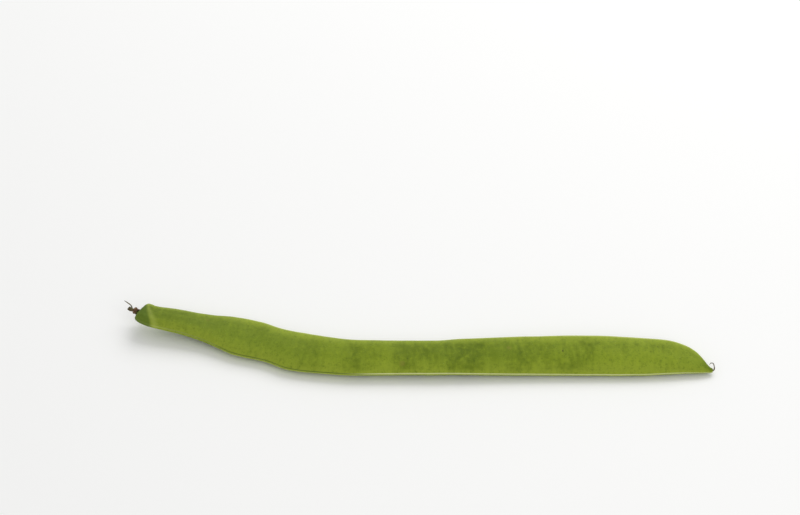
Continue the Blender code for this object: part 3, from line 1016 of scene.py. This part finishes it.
# %% [markdown]
# A closed skin from rings
#
# Rows of points, joined by faces, and shut by a fan at each end. The two walls of the cup are one
# such skin that turns over at the rim, so the paper has a real thickness and no loose edge. A single
# sheet with a Solidify modifier would be close. Here both walls are measured from the neck's own
# skin, so the inner one can't cut into it.

# %% Join rings into a closed mesh
def ring_faces(rows, count):
    """Faces between rows of count points, and a fan to each of the two points that follow them."""
    one = np.arange(count)
    two = np.roll(one, -1)
    faces = []
    for low in range(0, (rows - 1) * count, count):
        high = low + count
        faces += np.stack([low + one, low + two, high + two, high + one], axis=1).tolist()
    start, end, last_row = rows * count, rows * count + 1, (rows - 1) * count
    pairs = list(zip(one.tolist(), two.tolist()))
    faces += [(start, b, a) for a, b in pairs]
    return faces + [(end, last_row + a, last_row + b) for a, b in pairs]


def turn_outwards(mesh):
    shell = bmesh.new()
    shell.from_mesh(mesh)
    bmesh.ops.recalc_face_normals(shell, faces=shell.faces)
    shell.to_mesh(mesh)
    shell.free()


def closed_skin(name, rings, start, end, material, **marks):
    """A closed piece through rings of points. Marks are attributes, with a value for each point."""
    mesh = bpy.data.meshes.new(name)
    points = np.concatenate([*rings, [start, end]])
    mesh.from_pydata(points.tolist(), [], ring_faces(len(rings), len(rings[0])))
    for label, values in marks.items():
        ends = [values[0].mean(), values[-1].mean()]
        row = np.concatenate([np.concatenate(values), ends]).astype(np.float32)
        mesh.attributes.new(label, "FLOAT", "POINT").data.foreach_set("value", row)
    turn_outwards(mesh)
    mesh.shade_smooth()
    mesh.materials.append(material)
    piece = bpy.data.objects.new(name, mesh)
    bpy.context.scene.collection.objects.link(piece)
    print(f"{name}: {len(mesh.vertices)} points, {len(mesh.polygons)} faces")
    return piece


print("two rings of three points make", len(ring_faces(2, 3)), "faces")

# %% [markdown]
# Dry paper
#
# Dead plant tissue is brown in layers: a red brown where it was thick and juicy, tan where it dried
# thin, and almost black along torn edges. A flat brown would do from afar, but close up it reads as
# plastic. Fine fibres run from the stalk to the teeth, so the grain is squeezed round the cup and
# drawn out along it.

# %% Dry calyx material
CALYX_FIBRE = {"size": 0.16, "detail": 3.0, "seed": 2.0}
CALYX_BLOTCH = {"size": 0.0007, "detail": 3.0, "seed": 4.0}
FIBRE_ROUND = 1.4
FIBRE_ALONG = 0.5
TAN_BY = {"blotch": 1.0, "fibre": 0.4}
TAN_RAMP = (-0.3, 0.5)
TORN_BY = {"reach": 1.0, "fibre": 0.15}
TORN_RAMP = (0.70, 1.0, 0.0, 0.85)
STAIN_BY = {"blotch": -1.0, "fibre": 1.0}
STAIN_RAMP = (0.3, 0.9, 0.0, 0.6)
CALYX_RIB_SHARE = 0.6
CALYX_ROUGHNESS = 0.74
CALYX_HEIGHT = {"fibre": 0.6, "blotch": 0.4}
DRY_GLOSS = 0.08
DRY_BUMP = 0.00006


def dry_calyx():
    material, tree, shader, place = new_material("dry_calyx", Specular_IOR_Level=0.2, Sheen_Weight=0.05)
    at = SimpleNamespace(**{name: surface(tree, name) for name in ("reach", "rib", "turn")})
    at.fibre = grain(join(tree, at.turn * FIBRE_ROUND, at.reach * FIBRE_ALONG, 0.0), **CALYX_FIBRE)
    at.blotch = grain(place, **CALYX_BLOTCH)
    body = mix(tree, weigh(at, TAN_BY).ramp(*TAN_RAMP), CALYX_RED, CALYX_TAN)
    body = mix(tree, at.rib * CALYX_RIB_SHARE, body, CALYX_DARK)
    body = mix(tree, weigh(at, TORN_BY).ramp(*TORN_RAMP), body, CALYX_DARK)
    body = mix(tree, weigh(at, STAIN_BY).ramp(*STAIN_RAMP), body, STALK_BROWN)
    roughness = at.blotch * DRY_GLOSS + CALYX_ROUGHNESS
    finish_shader(tree, shader, body, roughness, weigh(at, CALYX_HEIGHT), DRY_BUMP)
    return material


calyx_paper = dry_calyx()
print(f"{calyx_paper.name}: {len(calyx_paper.node_tree.nodes)} nodes")

# %% [markdown]
# The cup and its teeth
#
# The cup hugs the neck at its back and stands off a little at its rim, where it dried and curled. Its
# teeth could be cut from a cone one by one. Here they are one cosine round the neck, raised to a power
# so that each is narrow, then made longer on one side and uneven by a noise. Ribs run down the teeth's
# middles, and a finer noise crumples the paper.

# %% Grow the calyx
GAP = 0.0003               # between two CAD solids that grew as one
CALYX_WALL = 0.0004
CALYX_EDGE = 0.35          # share of the wall that is left at the rim
CALYX_CLEAR = 0.00022      # from the neck's skin to the cup's inner wall
CALYX_BACK = 0.0008
CALYX_BULGE = 1.06
CALYX_DOME_ROWS = 12
CALYX_DOME_POWER = 0.6
CALYX_RIM = 0.0008
CALYX_TOOTH = 0.0005
CALYX_TEETH = 5
CALYX_TOOTH_POWER = 1.6
CALYX_LOPSIDED = 0.30
CALYX_RAGGED = 0.30
CALYX_RAGGED_SIZE = 0.45
CALYX_FLARE = 0.0003
CALYX_FLARE_POWER = 3
CALYX_RIB = 0.00009
CALYX_RIB_POWER = 6
CALYX_CRUMPLE = 0.00014
CALYX_CRUMPLE_SIZE = 0.0007
CALYX_CRUMPLE_BACK = 0.4   # the crumple's strength at the back. At the rim it is 1 more
CALYX_DEEPEST = -0.0001    # the furthest that a crumple goes inwards
CALYX_COLUMNS = 180
CALYX_ROWS = 22
CALYX_SEED = 11.0


def wobble(points, size, seed):
    """Smooth noise from about -1 to 1 at each point, for pieces that are made in Python."""
    return np.array([noise.noise(Vector(point) / size + Vector((seed, 0, 0))) for point in points])


def calyx_outline(turn):
    """How far the cup reaches along the neck for each turn, and how much of a rib is there."""
    circle = np.stack([np.cos(turn), np.sin(turn), 0 * turn], axis=1)
    ragged = 1 + CALYX_RAGGED * wobble(circle, CALYX_RAGGED_SIZE, CALYX_SEED)
    tooth = np.abs(np.cos(turn * CALYX_TEETH / 2)) ** CALYX_TOOTH_POWER
    reach = (CALYX_RIM + CALYX_TOOTH * tooth) * (1 + CALYX_LOPSIDED * np.cos(turn)) * ragged
    return reach, tooth**CALYX_RIB_POWER


def calyx_wall(turn, reach, rib, share, outer):
    """One ring of the cup, inside or outside, at a share of the way from its back to its rim."""
    under, outward = neck_skin(NECK_END + reach * share, turn)
    thick = CALYX_WALL * (1 - (1 - CALYX_EDGE) * share) + CALYX_RIB * rib
    crumple = wobble(under, CALYX_CRUMPLE_SIZE, CALYX_SEED) * CALYX_CRUMPLE
    crumple = crumple * (CALYX_CRUMPLE_BACK + share)
    away = CALYX_CLEAR + CALYX_FLARE * share**CALYX_FLARE_POWER
    away = away + np.maximum(crumple, CALYX_DEEPEST) + thick * outer
    return under + outward * away[:, None]


def calyx_piece():
    turn = np.linspace(0, 2 * math.pi, CALYX_COLUMNS, endpoint=False)
    outline = (turn, *calyx_outline(turn))
    middle, forward = (row[0] for row in ring_middles(np.array([NECK_END]))[:2])
    bulge = forward * CALYX_BACK * CALYX_BULGE
    start = calyx_wall(*outline, 0.0, 1.0) - middle
    dome = np.linspace(math.pi / 2, 0, CALYX_DOME_ROWS + 1)[1:-1]
    shares = np.linspace(0, 1, CALYX_ROWS)
    rings = [middle - bulge * math.sin(t) + start * math.cos(t) ** CALYX_DOME_POWER for t in dome]
    rings += [calyx_wall(*outline, share, 1.0) for share in shares]
    rings += [calyx_wall(*outline, share, 0.0) for share in shares[::-1]]
    rings += [calyx_wall(*outline, 0.0, 0.0) - forward * GAP]
    reached = [*(0.0 for _ in dome), *shares, *shares[::-1], 0.0]
    return closed_skin(
        "dry_calyx_cup",
        rings,
        middle - bulge,
        middle - forward * GAP,
        calyx_paper,
        reach=[np.full(CALYX_COLUMNS, share) for share in reached],
        rib=[outline[2] for _ in reached],
        turn=[turn for _ in reached],
    )


calyx = calyx_piece()
hand_over(calyx, "calyx", "dry_calyx")

# %% [markdown]
# Stems and threads
#
# The stalk, its torn strand and the style are all thin stems along a short path. A curve with a bevel
# would be quicker to place, but it would come out round and smooth, and these are ribbed and twisted.
# So the tree that swept the pod sweeps them too. Their spines start inside the piece that they grew
# from, because a stem that only touches its neighbour looks glued on.

# %% A spine for a stem
WORLD_Y = (0.0, 1.0, 0.0)


def curve_through(start, steps, count):
    """Points on a smooth curve from the start through the steps, which are measured from it."""
    knots = np.array(steps)
    reach = np.concatenate([[0], np.cumsum(np.linalg.norm(np.diff(knots, axis=0), axis=1))])
    places = np.linspace(0, reach[-1], count)
    columns = [through(list(zip(reach, column)), places) for column in knots.T]
    return start + np.stack(columns, axis=1)


def stem_spine(name, points, width, thickness, twist=0.0, ribs=0.0):
    """A spine along the points. The stem's section turns by twist, in radians, from end to end."""
    forward = unit(np.gradient(points, axis=0))
    level = unit(np.cross(forward, WORLD_Y))
    turn = np.linspace(0.0, twist, len(points))[:, None]
    across = level * np.cos(turn) + np.cross(forward, level) * np.sin(turn)
    along = np.linspace(0.0, 1.0, len(points))
    return spine(
        name,
        points,
        forward,
        across,
        along=along,
        half_width=width,
        half_thickness=thickness,
        ribs=ribs,
        offset=0.0,
        seam=0.0,
        seed=0.0,
        groove=0.0,
        slant=0.0,
    )


def grow_stem(name, base, material, shape, roughness):
    """A stem swept along its spine, with relief on it."""
    smooth_stem = grow(name + "_swept", base, sweep, material=material, **shape)
    return roughened(name, smooth_stem, roughness, material)


print(f"stems use the same tree as the pod: {sweep.name}")

# %% [markdown]
# Dry fibre
#
# A stalk and a style dry to the same thing, a bundle of fibres with bark left on it. Object
# coordinates would lay the streaks straight through a bent stem. So they follow the stem's own length
# and turn. The turn enters as its cosine and sine, because the turn itself jumps where it closes, and
# would leave a seam down the stem.

# %% Dry stalk material
STALK_STREAK = {"size": 0.22, "detail": 3.0, "seed": 6.0}
STALK_BLOTCH = {"size": 0.0006, "detail": 3.0, "seed": 8.0}
STREAK_ALONG = 0.8
BARK_BY = {"streak": 1.0, "blotch": 0.4}
BARK_RAMP = (-0.5, 0.3)
BLEACHED_BY = {"streak": 1.0, "blotch": -0.5}
BLEACHED_RAMP = (0.2, 0.8, 0.0, 0.75)
STALK_ROUGHNESS = 0.72
STALK_HEIGHT = {"streak": 0.7, "blotch": 0.3}


def dry_stalk(name, dark, middle, pale):
    material, tree, shader, place = new_material(name, Specular_IOR_Level=0.2)
    along, turn = surface(tree, "along"), surface(tree, "turn")
    fibre_place = join(tree, turn.math("COSINE"), turn.math("SINE"), along * STREAK_ALONG)
    at = SimpleNamespace(streak=grain(fibre_place, **STALK_STREAK), blotch=grain(place, **STALK_BLOTCH))
    body = mix(tree, weigh(at, BARK_BY).ramp(*BARK_RAMP), dark, middle)
    body = mix(tree, weigh(at, BLEACHED_BY).ramp(*BLEACHED_RAMP), body, pale)
    roughness = at.blotch * DRY_GLOSS + STALK_ROUGHNESS
    finish_shader(tree, shader, body, roughness, weigh(at, STALK_HEIGHT), DRY_BUMP)
    return material


stalk_fibre = dry_stalk("dry_stalk", STALK_BROWN, STALK_OLIVE, STALK_PALE)
style_fibre = dry_stalk("dry_style", STYLE_BROWN, STYLE_GREY, STALK_PALE)
print("materials:", stalk_fibre.name, "and", style_fibre.name)

# %% [markdown]
# The stalk's stub
#
# What is left of the stalk is a stub about as long as it is thick, shrunk and ribbed, and a little
# wider where it broke. A cylinder with a noise on it would be near enough from afar. The sweep is
# used again, because the stub bends, and its ribs have to bend with it.

# %% Grow the stub
STALK_RADIUS = 0.00070
STALK_END_RADIUS = 0.00088
STALK_NOSE = 0.4           # how far the CAD stub's end bulges, as a share of its radius
STALK_SUNK = (0.0009, -0.0002, -0.0001)
STALK_STEPS = [STALK_SUNK, (0.0, 0.0, 0.0), (-0.0005, 0.0001, 0.0001), (-0.0009, 0.0002, 0.0003)]
STALK_STEPS += [(-0.0012, 0.0003, 0.0006)]
STUB_POINTS = 60
STUB_FLATNESS = 0.92
STUB_RIBS = 0.07
STUB_SHAPE = {"nose": 0.00035, "ring_points": 64, "rib_count": 7.0}
STUB_ROUGHNESS = {
    "lump_size": 0.0009,
    "lump_height": 0.00011,
    "grain_size": 0.00025,
    "grain_height": 0.00003,
}


def stalk_start():
    """The stalk's first point: just behind the calyx's back."""
    middle, forward = (row[0] for row in ring_middles(np.array([NECK_END]))[:2])
    return middle - forward * (CALYX_BACK * CALYX_BULGE + GAP + STALK_RADIUS * STALK_NOSE)


def stub_spine():
    widening = np.linspace(0, 1, STUB_POINTS) ** 2
    radius = STALK_RADIUS + (STALK_END_RADIUS - STALK_RADIUS) * widening
    points = curve_through(stalk_start(), STALK_STEPS, STUB_POINTS)
    return stem_spine("stub_spine", points, radius, radius * STUB_FLATNESS, ribs=STUB_RIBS)


stub = grow_stem("dry_stalk_stub", stub_spine(), stalk_fibre, STUB_SHAPE, STUB_ROUGHNESS)
hand_over(stub, "stalk", "dry_stalk")

# %% [markdown]
# The torn strand
#
# When a pod is pulled off, a strip of the stalk's bark can tear loose with it. It dries as a ribbon
# that twists, so its section is wider than it is thick and turns from end to end. It could be cut from
# the stub's own skin, but a stem of its own is easier to bend, and it leaves the stub closed.

# %% Grow the torn strand
STRAND_STEPS = [(0.0002, -0.0002, -0.0002), (0.0000, 0.0006, 0.0010), (-0.0005, 0.0011, 0.0018)]
STRAND_STEPS += [(-0.0017, 0.0016, 0.0026), (-0.0032, 0.0021, 0.0035)]
STRAND_WIDTH = [(0.0, 0.00036), (0.4, 0.00026), (0.75, 0.00030), (1.0, 0.00016)]
STRAND_THICKNESS = [(0.0, 0.00024), (0.4, 0.00016), (0.75, 0.00020), (1.0, 0.00010)]
STRAND_POINTS = 90
STRAND_TWIST = 2.4
STRAND_RIBS = 0.06
STRAND_SHAPE = {"nose": 0.00004, "ring_points": 32, "rib_count": 5.0}
STRAND_ROUGHNESS = STUB_ROUGHNESS | {"lump_height": 0.00004, "grain_height": 0.000015}


def strand_spine():
    shares = np.linspace(0, 1, STRAND_POINTS)
    points = curve_through(stalk_start(), STRAND_STEPS, STRAND_POINTS)
    section = through(STRAND_WIDTH, shares), through(STRAND_THICKNESS, shares)
    return stem_spine("strand_spine", points, *section, twist=STRAND_TWIST, ribs=STRAND_RIBS)


strand = grow_stem("dry_stalk_strand", strand_spine(), stalk_fibre, STRAND_SHAPE, STRAND_ROUGHNESS)
hand_over(strand, "stalk", "dry_stalk")

# %% [markdown]
# The style
#
# The thread at the tip is the style of the flower that the pod grew from. It dries to a stiff, kinked
# hair that stands up from the beak and curls back over it. A hair curve would be lighter, but the
# export drops those, and a swept thread can be as flat and twisted as the real one.

# %% Grow the style
STYLE_RADIUS = 0.00042
STYLE_STEPS = [(-0.0012, -0.0001, -0.0002), (-0.0004, 0.0, 0.0), (0.0001, 0.0005, 0.0008)]
STYLE_STEPS += [(-0.0001, 0.0012, 0.0019), (-0.0006, 0.0018, 0.0026), (-0.0014, 0.0019, 0.0026)]
STYLE_STEPS += [(-0.0020, 0.0015, 0.0020)]
STYLE_WIDTH = [(0.0, STYLE_RADIUS), (0.25, 0.00034), (0.5, 0.00024), (0.8, 0.00022), (1.0, 0.00010)]
STYLE_FLATNESS = 0.8
STYLE_POINTS = 120
STYLE_TWIST = 3.0
STYLE_RIBS = 0.05
STYLE_SHAPE = {"nose": 0.00008, "ring_points": 32, "rib_count": 3.0}
STYLE_ROUGHNESS = STUB_ROUGHNESS | {"lump_height": 0.00006, "grain_height": 0.00002}


def style_spine():
    tip_middle = ring_middles(np.array([POD_LENGTH]))[0][0]
    points = curve_through(tip_middle + (GAP + STYLE_RADIUS, 0.0, 0.0), STYLE_STEPS, STYLE_POINTS)
    radius = through(STYLE_WIDTH, np.linspace(0, 1, STYLE_POINTS))
    section = radius, radius * STYLE_FLATNESS
    return stem_spine("style_spine", points, *section, twist=STYLE_TWIST, ribs=STYLE_RIBS)


style = grow_stem("dry_style_thread", style_spine(), style_fibre, STYLE_SHAPE, STYLE_ROUGHNESS)
hand_over(style, "style", "dry_style")

# %% [markdown]
# Hairs and splinters
#
# A bean pod feels slightly rough because of its short hooked hairs. Each is far thinner than a pixel,
# but close up they soften its edge against the light. They could be a particle system, but the export
# drops one. This tree scatters points over a skin and puts a closed three-sided spike on each, leaning
# a little at random. The same tree puts splinters on the stalk's broken end.

# %% The hair tree
HAIRS = {
    "Density": 500000.0,
    "Length": 0.0003,
    "Radius": 0.00001,
    "Lean": 0.6,
    "First Place": -1.0,
    "Last Place": 2.0,
    "Random Seed": 1,
    "Material": None,
}
HAIR_SIZES = (0.5, 1.2)    # the shortest and the longest, as shares of the length
# A Random Value node's sockets share their names too, so they go by number
VECTOR_LOW, VECTOR_HIGH = 0, 1
NUMBER_LOW, NUMBER_HIGH, NUMBER_RESULT = 2, 3, 1


def hair_tree():
    tree, put = new_geometry_tree("Hairs on a skin", HAIRS)
    along, seed = named(tree, "along"), put["Random Seed"]
    height = split(add(tree, "GeometryNodeInputPosition"))[2]
    chosen = along.math("GREATER_THAN", put["First Place"])
    chosen = chosen * along.math("LESS_THAN", put["Last Place"])
    chosen = chosen * height.math("GREATER_THAN", FLOOR_FADE)
    spread = {"Mesh": put["Geometry"], "Selection": chosen, "Density": put["Density"], "Seed": seed}
    points = add(tree, "GeometryNodeDistributePointsOnFaces", spread)
    normal = Field(points.socket.node.outputs["Normal"])
    box = {VECTOR_LOW: (-1.0, -1.0, -1.0), VECTOR_HIGH: (1.0, 1.0, 1.0), "Seed": seed}
    astray = add(tree, "FunctionNodeRandomValue", box, data_type="FLOAT_VECTOR")
    way = normal.plus(astray.scaled(put["Lean"]))
    turned = add(tree, "FunctionNodeAlignRotationToVector", {"Vector": way}, axis="Z")
    sizes = {NUMBER_LOW: HAIR_SIZES[0], NUMBER_HIGH: HAIR_SIZES[1], "Seed": seed}
    size = add(tree, "FunctionNodeRandomValue", sizes, output=NUMBER_RESULT, data_type="FLOAT")
    spike = {"Vertices": 3, "Radius Top": 0.0, "Radius Bottom": put["Radius"], "Depth": put["Length"]}
    placed = {"Points": points, "Instance": add(tree, "GeometryNodeMeshCone", spike)}
    placed |= {"Rotation": turned, "Scale": join(tree, size, size, size)}
    end_tree(tree, add(tree, "GeometryNodeInstanceOnPoints", placed), put["Material"])
    return tree


hairs = hair_tree()
print(f"{hairs.name}: {len(hairs.nodes)} nodes")

# %% [markdown]
# Where hairs and splinters grow
#
# The stub's splinters stand only on the last hundredth of its length, which is its broken end, and
# share its fibre. The pod's hairs are paler than its skin and stand everywhere but near the floor. A
# sheen on the skin would be cheaper, but it adds nothing to the outline.

# %% Grow the splinters and the hairs
SPLINTERS = {
    "density": 45000000.0,
    "length": 0.00030,
    "radius": 0.00004,
    "lean": 0.8,
    "first_place": 0.990,
    "random_seed": 3,
}
POD_HAIR_SEED = 5
HAIR_TINT = {"size": 0.004, "detail": 2.0, "seed": 1.0}
HAIR_TINT_RAMP = (-0.5, 0.5)
HAIR_SHINE = {"size": 0.002, "detail": 1.0, "seed": 2.0}
HAIR_ROUGHNESS = 0.5
HAIR_GLOSS = 0.05


def hair_material():
    material, tree, shader, place = new_material("pod_hair", Specular_IOR_Level=0.3)
    body = mix(tree, grain(place, **HAIR_TINT).ramp(*HAIR_TINT_RAMP), HAIR_PALE, MOTTLE_LIGHT)
    finish_shader(tree, shader, body, grain(place, **HAIR_SHINE) * HAIR_GLOSS + HAIR_ROUGHNESS)
    return material


splinters = grow("dry_stalk_splinters", stub.data.copy(), hairs, material=stalk_fibre, **SPLINTERS)
hand_over(splinters, "stalk", "dry_stalk")
hair = hair_material()
pod_hairs = grow("bean_pod_hairs", pod.data.copy(), hairs, material=hair, random_seed=POD_HAIR_SEED)
hand_over(pod_hairs, None, "pod_skin")

# %% [markdown]
# The floor
#
# A pale floor sends light back up to the pod's underside, as a sheet of paper does. It is a disc, wide
# enough that its edge stays out of the picture, and just under the bean. A square would do as well,
# but a disc reaches as far on every side that the camera may turn to.

# %% Floor
FLOOR_RADIUS = 3.0
FLOOR_SIDES = 96
FLOOR_HEIGHT = -0.0001


def floor_disc():
    angle = np.linspace(0, 2 * math.pi, FLOOR_SIDES, endpoint=False)
    rim = [(FLOOR_RADIUS * math.cos(a), FLOOR_RADIUS * math.sin(a), FLOOR_HEIGHT) for a in angle]
    mesh = bpy.data.meshes.new("floor")
    mesh.from_pydata(rim, [], [tuple(range(FLOOR_SIDES))])
    disc = bpy.data.objects.new("floor", mesh)
    bpy.context.scene.collection.objects.link(disc)
    paper, _, shader, _ = new_material("floor_paper", Specular_IOR_Level=0.1, Roughness=0.9)
    shader.inputs["Base Color"].default_value = FLOOR_WHITE
    mesh.materials.append(paper)
    return disc


floor = floor_disc()
print(f"{floor.name}: a disc of {FLOOR_RADIUS} m, {-FLOOR_HEIGHT * 1000:.1f} mm under the bean")

# %% [markdown]
# The light
#
# A pale sky lights a vegetable the way a light tent does, from all sides. One large lamp behind and
# above draws the bright line along the far seam, and a weaker one in front keeps the near side clear.
# A single sun would be simpler, but it throws one hard shadow.

# %% Light
SKY_STRENGTH = 0.58
SKY_WHITE = (1.0, 1.0, 1.0, 1.0)
# Lamps: place, size in metres, and power in watts
LAMPS = {
    "key": ((0.35, 0.75, 0.95), 0.9, 7.0),
    "front": ((0.45, -0.9, 0.8), 0.8, 3.1),
}


def hang_lamp(name, place, size, power):
    lamp = bpy.data.lights.new(name, "AREA")
    lamp.size = size
    lamp.energy = power
    holder = bpy.data.objects.new(name, lamp)
    holder.location = place
    holder.rotation_euler = (-Vector(place)).to_track_quat("-Z", "Y").to_euler()
    bpy.context.scene.collection.objects.link(holder)


def pale_sky():
    world = bpy.data.worlds.new("pale_sky")
    world.use_nodes = True
    background = world.node_tree.nodes["Background"]
    background.inputs["Strength"].default_value = SKY_STRENGTH
    background.inputs["Color"].default_value = SKY_WHITE
    return world


for lamp_name, lamp_settings in LAMPS.items():
    hang_lamp(lamp_name, *lamp_settings)
bpy.context.scene.world = pale_sky()
bpy.context.scene.view_settings.view_transform = "Standard"
print("lamps:", ", ".join(LAMPS))

# %% [markdown]
# The camera
#
# The camera looks down on the pod from in front. It stands over a metre away and has a long lens, so
# that near and far parts keep nearly their true sizes. It could be aimed by hand. Here its place is
# worked out from the pixel where the bean's origin should be, so each number has one meaning.

# %% Camera
PICTURE = (800, 515)       # pixels
FOCUS = 2800.0             # pixels
MIDDLE_IN_PICTURE = (417.2, 348.9)
SENSOR = 36.0              # millimetres
ELEVATION = math.radians(43.0)
DISTANCE = 1.2194
NEAREST = 0.01             # nothing closer to the camera than this is drawn


def aim_camera():
    """Puts the bean's origin at its pixel, at its distance, without shifting the lens."""
    right = (MIDDLE_IN_PICTURE[0] - PICTURE[0] / 2) / FOCUS
    down = (MIDDLE_IN_PICTURE[1] - PICTURE[1] / 2) / FOCUS
    pitch = ELEVATION - math.atan(down)
    forward = Vector((0.0, math.cos(pitch), -math.sin(pitch)))
    up = Vector((0.0, math.sin(pitch), math.cos(pitch)))
    optics = bpy.data.cameras.new("camera")
    optics.lens = FOCUS * SENSOR / PICTURE[0]
    optics.sensor_width = SENSOR
    optics.clip_start = NEAREST
    holder = bpy.data.objects.new("camera", optics)
    holder.location = -DISTANCE * (forward + Vector((right, 0.0, 0.0)) - up * down)
    holder.rotation_euler = (math.pi / 2 - pitch, 0.0, 0.0)
    bpy.context.scene.collection.objects.link(holder)
    bpy.context.scene.camera = holder
    return holder


camera = aim_camera()
print(f"lens {camera.data.lens:.0f} mm, {camera.location.length:.2f} m away")
